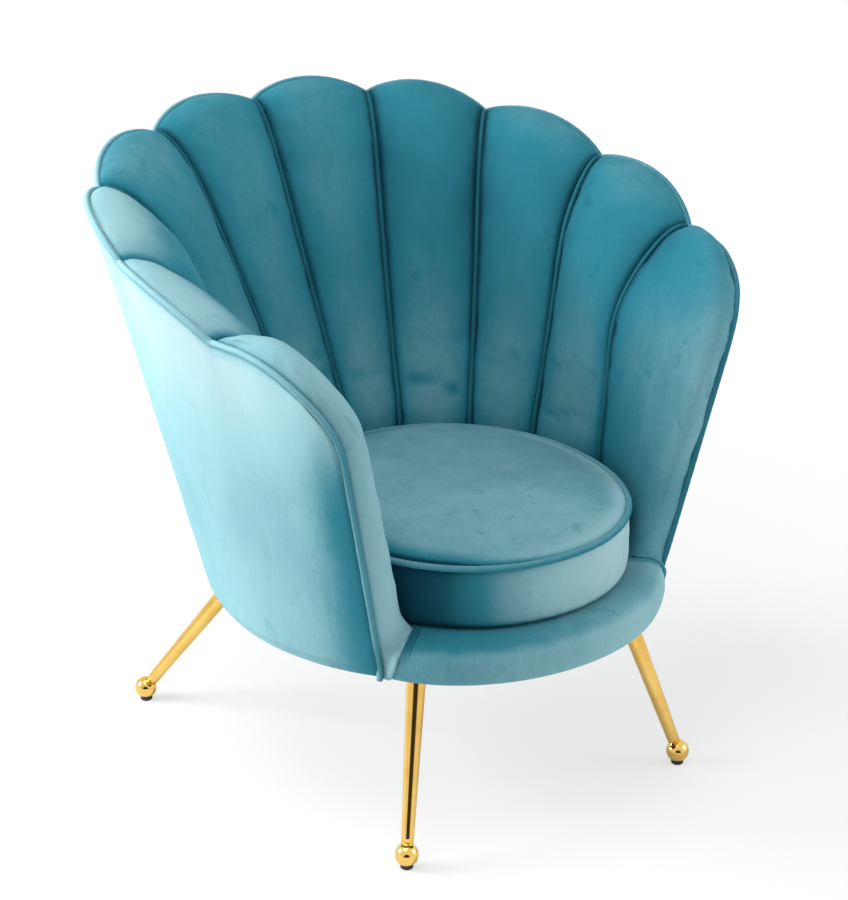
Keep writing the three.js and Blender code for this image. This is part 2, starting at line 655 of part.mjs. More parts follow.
function coverColumn(mark, flare, frontRows) {
  const frame = edgeAt(mark);
  const [topFront, endFront] = [frontRows[0], frontRows.at(-1)];
  const angle = radToDeg(Math.atan2(frame.place.x, frame.place.y));
  const lean = (angle / topFront.angle) ** 4;
  const places = frontRows.slice(1).map((point) => {
    const share = (point.height - endFront.height) / (topFront.height - endFront.height);
    return {
      angle: angle + (point.angle - topFront.angle) * lean,
      height: lerp(endFront.height, frame.place.z, share),
      swell: SCALLOP_FLARE * flare * share ** 5,
    };
  });
  return [
    roundEdge(frame, RIM_GROOVE, COVER_SIDE_END),
    ...places.map((at) => inPlan(wallRadius(at.angle, at.height) + at.swell, at.angle, at.height)),
    ...coverFold(places.at(-1).angle),
    ...places.map((at) => inPlan(
      coverInside(at.angle, at.height) + at.swell, at.angle, at.height)).reverse(),
    roundEdge(frame, RIM_GROOVE, COVER_SIDE_START),
  ];
}

// The cover's lower edge rounds under the base and lies flat against the seat ring
function coverFold(angle) {
  const half = BASE_ROUND * (1 - Math.SQRT1_2);
  return [
    inPlan(baseRadius(angle) - half, angle, FLOOR_CLEARANCE + half),
    inPlan(baseRadius(angle) - BASE_ROUND, angle, FLOOR_CLEARANCE),
    inPlan(TURN_UNDER_RADIUS, angle, FLOOR_CLEARANCE),
    inPlan(TURN_UNDER_RADIUS, angle, FOLD_TOP),
    inPlan(baseRadius(angle) - BASE_ROUND, angle, FOLD_TOP),
  ];
}

// Front rail: padding over the ring between the wings, round in front and turned under

const RAIL_STEPS = 18;
const railNoseTurns = [90, 62, 34, 6];
const railChinTurns = [-28, -60, -90];

// The rail swells out between the wings: swell is 1 in the middle and 0 at each end
function railSection(swell) {
  const middle = (FLOOR_CLEARANCE + DECK_TOP) / 2;
  const noseRadius = BASE_RADIUS + RAIL_NOSE * swell;
  const arc = (turns, reach) => turns.map((degrees) => new THREE.Vector2(
    noseRadius - reach + reach * Math.cos(degToRad(degrees)),
    middle + (DECK_TOP - middle) * Math.sin(degToRad(degrees))));
  return [
    new THREE.Vector2(DECK_RADIUS + GAP, DECK_TOP),
    ...arc(railNoseTurns, RAIL_SHOULDER),
    ...arc(railChinTurns, RAIL_CHIN),
    new THREE.Vector2(TURN_UNDER_RADIUS, FLOOR_CLEARANCE),
    new THREE.Vector2(TURN_UNDER_RADIUS, FOLD_TOP),
    new THREE.Vector2(ringFoot(HALF_TURN) + PAD_CLEARANCE, FOLD_TOP),
    new THREE.Vector2(ringOutside(HALF_TURN, RING_SHOULDER) + PAD_CLEARANCE, RING_SHOULDER),
    new THREE.Vector2(ringOutside(HALF_TURN, PAD_FOOT) + PAD_CLEARANCE, PAD_FOOT),
    new THREE.Vector2(DECK_RADIUS + GAP, PAD_FOOT),
  ];
}

function frontRail() {
  return loft(range(RAIL_STEPS + 1).map((step) => {
    const swell = 1 - Math.abs((2 * step) / RAIL_STEPS - 1) ** 4;
    return railSection(swell).map((point) => {
      const start = frontEdgeAngle(point.y) + arcAngle(RIM_GROOVE + GAP, BASE_RADIUS);
      return inPlan(point.x, lerp(start, 2 * HALF_TURN - start, step / RAIL_STEPS), point.y);
    });
  }));
}

// Seat cushion: crowned top, boxing drawn in at the piping, flat foot

const CUSHION_SIDES = 40;
const cushionTurns = range(CUSHION_SIDES).map((side) => (side * 2 * Math.PI) / CUSHION_SIDES);
const cushionCrownShares = [0.09, 0.2, 0.36, 0.56, 0.8];
const crownRise = (share) => CUSHION_CROWN * (1 - (1 - share) ** 2.3);

function cushionRing(inset, height) {
  return cushionTurns.map((turn) => {
    const point = cushionOutline(turn, inset);
    return new THREE.Vector3(point.x, point.y, height);
  });
}

function cushionBody() {
  const foot = DECK_TOP + GAP;
  const inset = CUSHION_WELT_RADIUS;
  const grooved = [270, 225, 180].map((degrees) => cushionRing(
    inset - CUSHION_GROOVE * Math.cos(degToRad(degrees)),
    SEAT_HEIGHT + CUSHION_GROOVE * Math.sin(degToRad(degrees))));
  const soft = CUSHION_FOOT_ROUND * (1 - Math.SQRT1_2);
  return loft([
    cushionRing(inset - CUSHION_DRAW_IN + CUSHION_FOOT_ROUND, foot),
    cushionRing(inset - CUSHION_DRAW_IN + soft, foot + soft),
    cushionRing(inset - CUSHION_DRAW_IN, lerp(foot, SEAT_HEIGHT, 0.35)),
    cushionRing(inset - CUSHION_DRAW_IN * 0.6, lerp(foot, SEAT_HEIGHT, 0.75)),
    ...grooved,
    ...cushionCrownShares.map((share) => cushionRing(
      inset + share * (CUSHION_HALF_WIDTH - inset), SEAT_HEIGHT + crownRise(share))),
  ]);
}

function cushionWelt() {
  return loft(cushionTurns.map((turn) => weltTurns.map((degrees) => {
    const across = CUSHION_WELT_RADIUS * Math.cos(degToRad(degrees));
    const point = cushionOutline(turn, CUSHION_WELT_RADIUS - across);
    return new THREE.Vector3(point.x, point.y,
      SEAT_HEIGHT + CUSHION_WELT_RADIUS * Math.sin(degToRad(degrees)));
  })), true);
}

function deckPad() {
  const profile = [
    [0, PAD_FOOT],
    [DECK_RADIUS - DECK_ROUND, PAD_FOOT],
    [DECK_RADIUS, PAD_FOOT + DECK_ROUND],
    [DECK_RADIUS, DECK_TOP - DECK_ROUND],
    [DECK_RADIUS - DECK_ROUND, DECK_TOP],
    [0, DECK_TOP],
  ].map(([radius, height]) => new THREE.Vector2(radius, height));
  return standing(new THREE.LatheGeometry(profile, RING_SIDES));
}

// Inner frame

const RING_SIDES = 40;
const standing = (geometry) => geometry.rotateX(Math.PI / 2);

function seatRing() {
  return loft(range(RING_SIDES).map((side) => {
    const angle = (side * 2 * HALF_TURN) / RING_SIDES - HALF_TURN;
    return [
      inPlan(RING_INNER_RADIUS, angle, RING_BOTTOM),
      inPlan(ringFoot(angle), angle, RING_BOTTOM),
      inPlan(ringOutside(angle, RING_SHOULDER), angle, RING_SHOULDER),
      inPlan(ringOutside(angle, RING_TOP), angle, RING_TOP),
      inPlan(RING_INNER_RADIUS, angle, RING_TOP),
    ];
  }), true);
}

const RAIL_BAND_PARTS = 3;

function topRail() {
  const knots = [...frameTopAngles, CORNER_START_ANGLE - arcAngle(GAP, BASE_RADIUS)];
  const side = knots.slice(1).flatMap((knot, index) => range(RAIL_BAND_PARTS).map(
    (part) => lerp(knots[index], knot, (part + 1) / RAIL_BAND_PARTS)));
  const angles = [...side.map((angle) => -angle).reverse(), 0, ...side];
  return loft(angles.map((angle) => {
    const top = frameTopAt(angle);
    const bottom = top - FRAME_WIDTH;
    return [
      inPlan(frameOutside(angle, top), angle, top),
      inPlan(frameInside(angle, top), angle, top),
      inPlan(frameInside(angle, bottom), angle, bottom),
      inPlan(frameOutside(angle, bottom), angle, bottom),
    ];
  }));
}

function wingPost() {
  const start = edgeLine.findIndex((point) => point.mark > CHANNELS_TO_WING) + wingTopShares.length;
  const rows = edgeLine.slice(start, -1);
  rows.push(wingEdgePoint(frontEdgeAngle(PAD_FOOT), PAD_FOOT, 90));
  const outside = (angle, height) => frameOutside(angle, height) - PAD_CLEARANCE;
  return loft(rows.map((point) => [
    frameEdge(point, FRAME_SETBACK, outside),
    frameEdge(point, FRAME_SETBACK, frameInside),
    frameEdge(point, FRAME_SETBACK + FRAME_WIDTH, frameInside),
    frameEdge(point, FRAME_SETBACK + FRAME_WIDTH, outside),
  ]));
}

function backRib(middle) {
  const half = arcAngle(RIB_WIDTH / 2, wallRadius(middle, WING_HEIGHT));
  const bow = Math.cos(degToRad(half));
  const corners = [[-half, frameOutside, 1], [half, frameOutside, 1], [half, frameInside, bow],
    [-half, frameInside, bow]];
  const level = (heightAt) => corners.map(([turn, radiusAt, cut]) => {
    const angle = middle + turn;
    return inPlan(radiusAt(angle, heightAt(angle)) / cut, angle, heightAt(angle));
  });
  return loft([level(() => PAD_FOOT), level((angle) => frameTopAt(angle) - FRAME_WIDTH - GAP)]);
}

const SPRING_STEPS = 32;

function seatSpring(side) {
  const across = side * SPRING_SPACING;
  const clear = RING_INNER_RADIUS * Math.cos(Math.PI / RING_SIDES) - GAP;
  const reach = Math.sqrt(clear ** 2 - (Math.abs(across) + SPRING_WIRE_RADIUS) ** 2);
  const halfWaves = Math.round((4 * reach) / SPRING_PITCH);
  const height = RING_TOP - SPRING_WIRE_RADIUS;
  const path = new THREE.CatmullRomCurve3(range(4 * halfWaves + 1).map((step) => {
    const along = lerp(-reach, reach, step / (4 * halfWaves));
    const swing = SPRING_WAVE * Math.min(1, (reach - Math.abs(along)) / SPRING_PITCH);
    return new THREE.Vector3(across + swing * Math.sin((step / 4) * Math.PI), along, height);
  }));
  const wire = new THREE.Shape(range(4).map((corner) => new THREE.Vector2(
    SPRING_WIRE_RADIUS * Math.cos((corner * Math.PI) / 2),
    SPRING_WIRE_RADIUS * Math.sin((corner * Math.PI) / 2))));
  return new THREE.ExtrudeGeometry(wire, { steps: SPRING_STEPS, bevelEnabled: false, extrudePath: path });
}

function dustCover() {
  const radius = TURN_UNDER_RADIUS - PAD_CLEARANCE;
  const disc = new THREE.CylinderGeometry(radius, radius, DUST_COVER_THICKNESS, RING_SIDES);
  return standing(disc).translate(0, 0, FOLD_TOP - DUST_COVER_THICKNESS / 2);
}

// Legs: each stands in a group at its foot, with +X pointing outwards

const LEG_SIDES = 16;
const PLATE_TOP = FLOOR_CLEARANCE - GAP;
const PLATE_BOTTOM = PLATE_TOP - PLATE_THICKNESS;
const UP = new THREE.Vector3(0, 1, 0);

const legKinds = {
  front: { angle: FRONT_LEG_ANGLE, top: FRONT_LEG_TOP_RADIUS, foot: FRONT_FOOT_RADIUS },
  rear: { angle: REAR_LEG_ANGLE, top: REAR_LEG_TOP_RADIUS, foot: REAR_FOOT_RADIUS },
};

function legLine({ top, foot }) {
  const ball = new THREE.Vector3(0, 0, BALL_CENTRE_HEIGHT);
  const crossing = new THREE.Vector3(top - foot, 0, FLOOR_CLEARANCE);
  const axis = crossing.clone().sub(ball).normalize();
  return { ball, crossing, axis, turn: new THREE.Quaternion().setFromUnitVectors(UP, axis) };
}

function rod(line, from, length, startRadius, endRadius) {
  return new THREE.CylinderGeometry(endRadius, startRadius, length, LEG_SIDES)
    .translate(0, length / 2, 0)
    .applyQuaternion(line.turn)
    .translate(...from.toArray());
}

function block(low, high) {
  const size = high.clone().sub(low);
  return new THREE.BoxGeometry(...size.toArray()).translate(...low.add(high).multiplyScalar(0.5).toArray());
}

const ballSeat = Math.sqrt(BALL_RADIUS ** 2 - (LEG_END_THICKNESS / 2) ** 2);

function legTube(kind) {
  const line = legLine(kind);
  const start = line.ball.clone().addScaledVector(line.axis, ballSeat + GAP);
  const span = line.crossing.distanceTo(start);
  const taper = (LEG_TOP_THICKNESS - LEG_END_THICKNESS) / 2 / span;
  const length = span + OVERRUN;
  const tube = toSolid(rod(line, start, length, LEG_END_THICKNESS / 2, LEG_END_THICKNESS / 2 + taper * length));
  const above = block(new THREE.Vector3(-kind.foot, -kind.foot, PLATE_BOTTOM - GAP),
    new THREE.Vector3(kind.foot, kind.foot, BACK_HEIGHT));
  const stud = rod(line, line.crossing.clone().addScaledVector(line.axis, -OVERRUN / 2),
    STUD_LENGTH + OVERRUN / 2, STUD_RADIUS, STUD_RADIUS);
  return toGeometry(tube.subtract(toSolid(above)).add(toSolid(stud)));
}

function footBall(kind) {
  const line = legLine(kind);
  const ball = new THREE.SphereGeometry(BALL_RADIUS, LEG_SIDES, LEG_SIDES / 2)
    .applyQuaternion(line.turn)
    .translate(0, 0, BALL_CENTRE_HEIGHT);
  const seat = rod(line, line.ball.clone().addScaledVector(line.axis, ballSeat), OVERRUN, OVERRUN, OVERRUN);
  const floor = block(new THREE.Vector3(-OVERRUN, -OVERRUN, -OVERRUN),
    new THREE.Vector3(OVERRUN, OVERRUN, GLIDE_HEIGHT + GAP));
  return toGeometry(toSolid(ball).subtract(toSolid(seat)).subtract(toSolid(floor)));
}

function footGlide() {
  const profile = [
    [0, 0],
    [GLIDE_RADIUS - GLIDE_EDGE, 0],
    [GLIDE_RADIUS, GLIDE_EDGE],
    [GLIDE_RADIUS, GLIDE_HEIGHT],
    [0, GLIDE_HEIGHT],
  ].map(([radius, height]) => new THREE.Vector2(radius, height));
  return standing(new THREE.LatheGeometry(profile, LEG_SIDES));
}

function legPlate(kind) {
  const middle = kind.top - kind.foot - PLATE_SHIFT;
  const [x, y] = [PLATE_LENGTH / 2, PLATE_WIDTH / 2];
  const outline = new THREE.Shape();
  outline.moveTo(x - PLATE_CORNER, -y);
  outline.absarc(x - PLATE_CORNER, PLATE_CORNER - y, PLATE_CORNER, -Math.PI / 2, 0);
  outline.absarc(x - PLATE_CORNER, y - PLATE_CORNER, PLATE_CORNER, 0, Math.PI / 2);
  outline.absarc(PLATE_CORNER - x, y - PLATE_CORNER, PLATE_CORNER, Math.PI / 2, Math.PI);
  outline.absarc(PLATE_CORNER - x, PLATE_CORNER - y, PLATE_CORNER, Math.PI, Math.PI * 1.5);
  const plate = new THREE.ExtrudeGeometry(outline,
    { depth: PLATE_THICKNESS, bevelEnabled: false, curveSegments: 3 });
  return plate.translate(middle, 0, PLATE_BOTTOM);
}

function studBore(kind) {
  const line = legLine(kind);
  const radius = (STUD_RADIUS + GAP) / Math.cos(Math.PI / LEG_SIDES);
  return rod(line, line.crossing.clone().addScaledVector(line.axis, -OVERRUN / 2),
    STUD_LENGTH + OVERRUN / 2 + GAP, radius, radius);
}

const studBores = [];

function addLeg(place, side) {
  const kind = legKinds[place];
  const name = `${place}_${side > 0 ? 'left' : 'right'}`;
  const leg = new THREE.Group();
  leg.position.copy(inPlan(kind.foot, side * kind.angle, 0));
  leg.rotation.z = Math.PI / 2 - degToRad(side * kind.angle);
  leg.updateMatrix();
  chair.add(leg);
  addPiece(`leg_${name}`, legTube(kind), GOLD, leg);
  addPiece(`foot_ball_${name}`, footBall(kind), GOLD, leg);
  addPiece(`foot_glide_${name}`, footGlide(), BLACK_PLASTIC, leg);
  const plate = toSolid(legPlate(kind)).subtract(toSolid(studBore(kind)));
  addPiece(`leg_plate_${name}`, toGeometry(plate), STEEL, leg);
  studBores.push(toSolid(studBore(kind).applyMatrix4(leg.matrix)));
}

const bored = (geometry) => toGeometry(
  studBores.reduce((solid, bore) => solid.subtract(bore), toSolid(geometry)));

// Assembly

for (const place of Object.keys(legKinds)) {
  addLeg(place, 1);
  addLeg(place, -1);
}

addPiece('seat_ring_frame', bored(seatRing()), PLYWOOD);
addPiece('top_rail', topRail(), PLYWOOD);
const post = wingPost();
addPiece('wing_post_left', post, PLYWOOD);
addPiece('wing_post_right', mirrored(post), PLYWOOD);
const ribNames = ['right_side', 'right_back', 'centre', 'left_back', 'left_side'];
ribAngleShares.forEach((share, index) => {
  addPiece(`back_rib_${ribNames[index]}`, backRib(share * WING_SEAM_RIM_ANGLE), PLYWOOD);
});
range(SPRING_COUNT).forEach((index) => {
  addPiece(`seat_spring_${index + 1}`, seatSpring(index - (SPRING_COUNT - 1) / 2), STEEL);
});
addPiece('dust_cover', bored(dustCover()), BLACK_CLOTH);
addPiece('seat_deck', deckPad(), VELVET);

for (const channel of range(CHANNELS_TO_WING)) {
  const pad = channelPad(channel);
  addPiece(`channel_pad_left_${channel + 1}`, pad, VELVET);
  addPiece(`channel_pad_right_${channel + 1}`, mirrored(pad), VELVET);
}
const wingPadding = wingPad();
addPiece('wing_pad_left', wingPadding, VELVET);
addPiece('wing_pad_right', mirrored(wingPadding), VELVET);

addPiece('channel_welt_centre', channelWelt(0), PIPING);
for (const seam of range(CHANNELS_TO_WING).map((index) => index + 1)) {
  const welt = channelWelt(seam);
  addPiece(`channel_welt_left_${seam}`, welt, PIPING);
  addPiece(`channel_welt_right_${seam}`, mirrored(welt), PIPING);
}
addPiece('rim_welt', rimWelt(), PIPING);
addPiece('outside_cover', bored(outsideCover()), VELVET);
addPiece('front_rail_cover', bored(frontRail()), VELVET);
addPiece('seat_cushion', cushionBody(), VELVET);
addPiece('cushion_welt', cushionWelt(), PIPING);

// The origin is on the floor, midway between the front of the rail and the back of the rim
chair.updateMatrixWorld(true);
const reach = new THREE.Box3().setFromObject(chair);
chair.position.y = -(reach.min.y + reach.max.y) / 2;
const standingChair = new THREE.Group();
standingChair.add(chair);

export default standingChair;
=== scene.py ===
"""Scallop back tub chair in teal velvet: padding, piping, covers, gilt legs and a plain studio.

Metres, +Z up. The sitter faces -Y, so the sitter's left is +X. Plan angles are degrees from the middle
of the back, round towards the wings. The left half is shaped first and mirrored to the right.
"""

import math

import bmesh
import bpy
import numpy as np
from bpy.props import FloatProperty, FloatVectorProperty, PointerProperty
from bpy.types import Operator, Panel, PropertyGroup
from mathutils import Matrix, Vector


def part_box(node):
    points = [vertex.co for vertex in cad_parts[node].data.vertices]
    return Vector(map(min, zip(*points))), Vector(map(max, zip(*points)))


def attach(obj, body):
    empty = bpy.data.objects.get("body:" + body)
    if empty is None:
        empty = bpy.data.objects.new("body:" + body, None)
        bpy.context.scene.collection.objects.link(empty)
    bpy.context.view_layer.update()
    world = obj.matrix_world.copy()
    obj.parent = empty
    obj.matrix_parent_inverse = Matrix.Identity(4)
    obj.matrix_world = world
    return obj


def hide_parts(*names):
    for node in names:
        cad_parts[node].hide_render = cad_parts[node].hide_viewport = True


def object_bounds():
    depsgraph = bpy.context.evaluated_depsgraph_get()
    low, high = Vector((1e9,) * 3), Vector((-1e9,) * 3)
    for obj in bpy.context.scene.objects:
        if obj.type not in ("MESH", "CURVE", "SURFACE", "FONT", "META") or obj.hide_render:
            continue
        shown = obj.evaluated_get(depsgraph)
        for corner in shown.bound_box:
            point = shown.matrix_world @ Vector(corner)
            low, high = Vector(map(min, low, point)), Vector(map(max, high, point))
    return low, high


bl_info = {
    "name": "Scallop back chair",
    "version": (1, 0, 0),
    "blender": (4, 5, 0),
    "location": "View3D > Sidebar > Chair",
    "description": "Dresses a tub chair's frame in channelled velvet with gilt legs",
    "category": "Object",
}

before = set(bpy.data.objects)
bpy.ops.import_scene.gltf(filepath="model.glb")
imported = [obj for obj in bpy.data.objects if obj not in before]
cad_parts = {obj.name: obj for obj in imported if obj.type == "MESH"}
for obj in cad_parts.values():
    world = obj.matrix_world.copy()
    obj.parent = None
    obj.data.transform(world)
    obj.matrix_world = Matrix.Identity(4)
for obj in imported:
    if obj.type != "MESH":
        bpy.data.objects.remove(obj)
CAD_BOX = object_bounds()

# Levels and middles that the frame gives
DECK_LOW, DECK_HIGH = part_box("seat_deck")
FLOOR_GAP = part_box("front_rail_cover")[0].z
CUSHION_LOW, CUSHION_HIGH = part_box("cushion_welt")
RING_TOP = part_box("seat_ring_frame")[1].z
CENTRE_Y = (DECK_LOW.y + DECK_HIGH.y) / 2
SEAT_MIDDLE = np.array([0, CENTRE_Y, 0])
DECK_TOP = DECK_HIGH.z
DECK_RADIUS = DECK_HIGH.x
# Clearance round and over the deck, and between hard pieces
DECK_GAP = 0.0004
CLEARANCE = 0.0003
CHANNELS = 4
STATIONS = 8
SIDES = ("left", "right")
LEGS = [f"{place}_{side}" for place in ("front", "rear") for side in SIDES]


def length(default, name, description):
    return FloatProperty(name=name, description=description, default=default, unit="LENGTH", precision=5)


def colour(default, name, description):
    return FloatVectorProperty(name=name, description=description, default=default, size=4,
                               subtype="COLOR", min=0, max=1)


def angle_of(degrees, name, description):
    angle = math.radians(degrees)
    return FloatProperty(name=name, description=description, default=angle, subtype="ANGLE")


class PaddingSizes(PropertyGroup):
    """How full the padding stands"""

    channel_crown: length(0.0215, "Channel crown", "Rise of a channel between its seams")
    seat_crown: length(0.008, "Crown at the seat", "Rise of a channel where it meets the cushion")
    seam_depth: length(0.0045, "Seam depth", "How deep the cover dips beside the piping")
    seam_width: length(0.0045, "Seam width", "How far that dip reaches from the piping")
    wing_nose: length(0.062, "Wing nose", "How far the wing's front roll stands out")
    wing_crown: length(0.018, "Wing crown", "Rise of the wing's inner face")
    pad_thickness: length(0.026, "Back inset", "How far the back of the padding lies inside the outer cover")
    cushion_crown: length(0.017, "Cushion crown", "Rise of the cushion's top before it is stuffed")
    boxing_swell: length(0.003, "Boxing swell", "How far the cushion's side swells out before it is stuffed")
    wrinkle: length(0.0005, "Unevenness", "Height of the soft waves in the covers")


class PipingSizes(PropertyGroup):
    """Thickness of the piping"""

    rim: length(0.0040, "Rim piping radius", "Radius of the piping round the scalloped edge")
    channel: length(0.0033, "Channel piping radius", "Radius of the piping between channels")
    cushion: length(0.0041, "Cushion piping radius", "Radius of the piping round the cushion")
    proud: length(0.0003, "Proud", "How far the channel piping's middle stands out of the seam")


class CoverSizes(PropertyGroup):
    """Outside cover and front rail"""

    base_radius: length(0.274, "Base radius", "Radius of the round base in front")
    rear_swell: length(0.038, "Rear swell", "How much further the base reaches at the back")
    base_round: length(0.014, "Base round", "Radius of the cover's turn under the base")
    thickness: length(0.0048, "Cover thickness", "Thickness of the padded outer cover")
    turn_under: length(0.047, "Turn under", "How far the covers reach in under the base")
    rake: angle_of(14.4, "Back rake", "Lean of the wall at its steepest")
    rail_nose: length(0.013, "Rail nose", "How far the front rail stands out past the base")
    rail_shoulder: length(0.030, "Rail shoulder", "Depth of the rail's rounded top edge")
    rail_chin: length(0.010, "Rail chin", "Depth of the rail's rounded lower edge")


class VelvetLook(PropertyGroup):
    """Colours of the velvet's pile and of the painted light and shade on it"""

    # Deep, light and bright are mostly where the painted shade and painted light of each piece lead; the
    # pile's own random tone also reaches a little way into deep and light
    deep: colour((0.002, 0.050, 0.080, 1), "Deep", "Pile that leans away from the light")
    body: colour((0.024, 0.200, 0.266, 1), "Body", "Pile at rest")
    light: colour((0.285, 0.505, 0.550, 1), "Light", "Pile that leans into the light")
    # Bright is a painted highlight, reached only where the painted light is strongest
    bright: colour((0.50, 0.64, 0.67, 1), "Bright", "Pile that lies straight towards the light")
    sheen: colour((0.45, 0.85, 0.95, 1), "Sheen", "Tint of the pile's tips")


class MetalLook(PropertyGroup):
    """Colour of the gilt legs"""

    gold: colour((0.860, 0.560, 0.160, 1), "Gold", "Mirror plated legs and ball feet")
    gold_deep: colour((0.760, 0.450, 0.100, 1), "Deep gold", "Thicker places of the plating")


class StudioSizes(PropertyGroup):
    """Camera"""

    azimuth: angle_of(-36.09, "Azimuth", "Round from the front, to the sitter's left")
    elevation: angle_of(22.887, "Elevation", "Camera's tilt down")
    across: length(-1.806, "Camera across", "Camera's place along X")
    ahead: length(-2.435, "Camera ahead", "Camera's place along Y from the middle of the seat")
    height: length(1.697, "Camera height", "Camera's height over the floor")
    lens: FloatProperty(name="Lens", description="Focal length in millimetres", default=105.6)


def sizes():
    return bpy.context.scene.chair_padding


def piping():
    return bpy.context.scene.chair_piping


def covers():
    return bpy.context.scene.chair_covers


# Curves and tables

def along(points):
    """Distance along a row of points, averaged over what each row holds"""
    steps = np.linalg.norm(np.diff(points, axis=0), axis=-1)
    while steps.ndim > 1:
        steps = steps.mean(axis=-1)
    return np.concatenate([[0], np.cumsum(np.maximum(steps, 1e-6))])


def smooth(knots, values, at, level_start=False):
    """Smooth curve through values at knots, read at the places asked for"""
    knots, values = np.asarray(knots, float), np.asarray(values, float)
    spread = (-1,) + (1,) * (values.ndim - 1)
    at = np.clip(np.asarray(at, float), knots[0], knots[-1])
    secants = np.diff(values, axis=0) / np.diff(knots).reshape(spread)
    slopes = np.concatenate([secants[:1], (secants[1:] + secants[:-1]) / 2, secants[-1:]])
    if level_start:
        slopes[0] = 0
    row = np.clip(np.searchsorted(knots, at, side="right") - 1, 0, len(knots) - 2)
    span = (knots[row + 1] - knots[row]).reshape(spread)
    t = (at - knots[row]).reshape(spread) / span
    return ((2 * t ** 3 - 3 * t ** 2 + 1) * values[row] + (t ** 3 - 2 * t ** 2 + t) * span * slopes[row]
            + (3 * t ** 2 - 2 * t ** 3) * values[row + 1] + (t ** 3 - t ** 2) * span * slopes[row + 1])


def lerp(a, b, share):
    return a + (b - a) * share


def ease(low, high, value):
    t = np.clip((value - low) / (high - low), 0, 1)
    return t * t * (3 - 2 * t)


def plan(radius, angle, height):
    """Points from plan radius, plan angle in degrees and height"""
    radius, angle, height = np.broadcast_arrays(radius, np.radians(angle), height)
    return np.stack([radius * np.sin(angle), radius * np.cos(angle) + CENTRE_Y, height], axis=-1)


def way_out(angle, level=1, rise=0):
    """Direction out from the middle of the seat at a plan angle, with its level and rising parts"""
    return plan(level, angle, rise) - SEAT_MIDDLE


def polar(points):
    """Plan radius, plan angle in degrees and height of points"""
    x, y = points[..., 0], points[..., 1] - CENTRE_Y
    return np.hypot(x, y), np.degrees(np.arctan2(x, y)), points[..., 2]


def unit(vectors):
    return vectors / np.maximum(np.linalg.norm(vectors, axis=-1, keepdims=True), 1e-12)


def level_way(points, middle):
    """Level direction to points from the upright line at a middle, given along Y"""
    return unit((points - np.array([0, middle, 0])) * np.array([1, 1, 0]))


def waves(points, wavelength, seed, count=9):
    """Soft uneven field, about -1 to 1, that is the same in every run"""
    draw = np.random.default_rng(seed)
    total = np.zeros(points.shape[:-1])
    for _ in range(count):
        direction = unit(draw.normal(size=3))
        pitch = wavelength * draw.uniform(0.7, 1.5)
        total += np.sin(points @ direction * (2 * math.pi / pitch) + draw.uniform(0, 2 * math.pi))
    return total / math.sqrt(count)


def bump(distance, width):
    return np.exp(-(distance / width) ** 2)


def gathers(run, pitch, wander=0):
    """Even folds along a run, pushed about by the wander"""
    return np.sin(run * 2 * math.pi / pitch + wander)


def finer(knots, steps):
    """Places between knots, with as many steps in each span as steps says"""
    spans = zip(knots[:-1], knots[1:], np.broadcast_to(steps, len(knots) - 1))
    return np.concatenate([np.linspace(low, high, count, endpoint=False) for low, high, count in spans]
                          + [knots[-1:]])


# Outside wall

# Plan angles of the wall's stations up to its end, and there the lean and the reach of the base as shares
WALL_END = 127.6
WALL_ANGLES = np.array([0, 0.175, 0.343, 0.534, 0.755, 0.815, 0.885, 0.94, 1]) * WALL_END
RAKE_SHARES = [0.874, 0.945, 1.02, 0.92, 0.79, 0.806, 0.887, 0.96, 0.945]
SWELL_SHARES = [1, 0.96, 0.79, 0.37, 0.13, 0.08, 0.05, 0.03, 0]


def table_at(values, angle):
    angle = np.abs(np.asarray(angle, float))
    return smooth(WALL_ANGLES, values, angle.ravel(), level_start=True).reshape(angle.shape)


def base_radius(angle):
    return covers().base_radius + covers().rear_swell * table_at(SWELL_SHARES, angle)


def wall_radius(angle, height):
    slope = math.tan(covers().rake)
    return base_radius(angle) + (height - FLOOR_GAP) * slope * table_at(RAKE_SHARES, angle)


# The frame's piping gives the lines that the covers are sewn to

# Points in each ring of that piping
RING_POINTS = 6


def piping_line(node, first):
    """Middle line of a piping node, from the end that sorts first: its rings, taken one by one"""
    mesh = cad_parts[node].data
    rounded = np.round([vertex.co for vertex in mesh.vertices], 5)
    places, merged = np.unique(rounded, axis=0, return_inverse=True)
    merged = np.ravel(merged)
    beside = [set() for _ in places]
    for edge in mesh.edges:
        a, b = (int(merged[index]) for index in edge.vertices)
        beside[a].add(b)
        beside[b].add(a)
    layer = sorted(range(len(places)), key=lambda index: first(places[index]))[:RING_POINTS]
    seen, line = set(layer), []
    while layer:
        line.append(places[layer].mean(axis=0))
        layer = sorted({other for index in layer for other in beside[index]} - seen)
        seen.update(layer)
    return np.array(line)


RIM = piping_line("rim_welt", lambda place: (place[0] < 0, place[2]))
EDGE = RIM[len(RIM) // 2::-1]
SEAM_ENDS = EDGE[:CHANNELS * STATIONS + 1:STATIONS]
WING_START = CHANNELS * STATIONS + 1


def edge_frames(line):
    """Directions along the edge, out of the chair and up, at each point of the edge"""
    onward = unit(np.gradient(line, axis=0))
    out = way_out(polar(line)[1])
    out = unit(out - onward * np.sum(out * onward, axis=-1, keepdims=True))
    return out, np.cross(onward, out)


# Where covers meet the edge piping: a share of its radius, and the turn round it in degrees
LIP = (1.05, 160)
LAP = (1.02, 145)
TUCK = (0.8, 215)
HANG = (0.9, 292)
INSIDE = (0.9, 268)


def round_edge(line, place, frames=None):
    """Line beside the edge piping, at one of its places"""
    out, up = frames or edge_frames(line)
    radius, turn = piping().rim * place[0], math.radians(place[1])
    return line + out * radius * math.cos(turn) + up * radius * math.sin(turn)


def channel_edge(channel, shares):
    """Points of the rim piping's middle line over one channel"""
    stations = EDGE[channel * STATIONS:(channel + 1) * STATIONS + 1]
    angles = polar(stations)[1]
    angles = (angles - angles[0]) / (angles[-1] - angles[0])
    return smooth(angles, stations, shares)


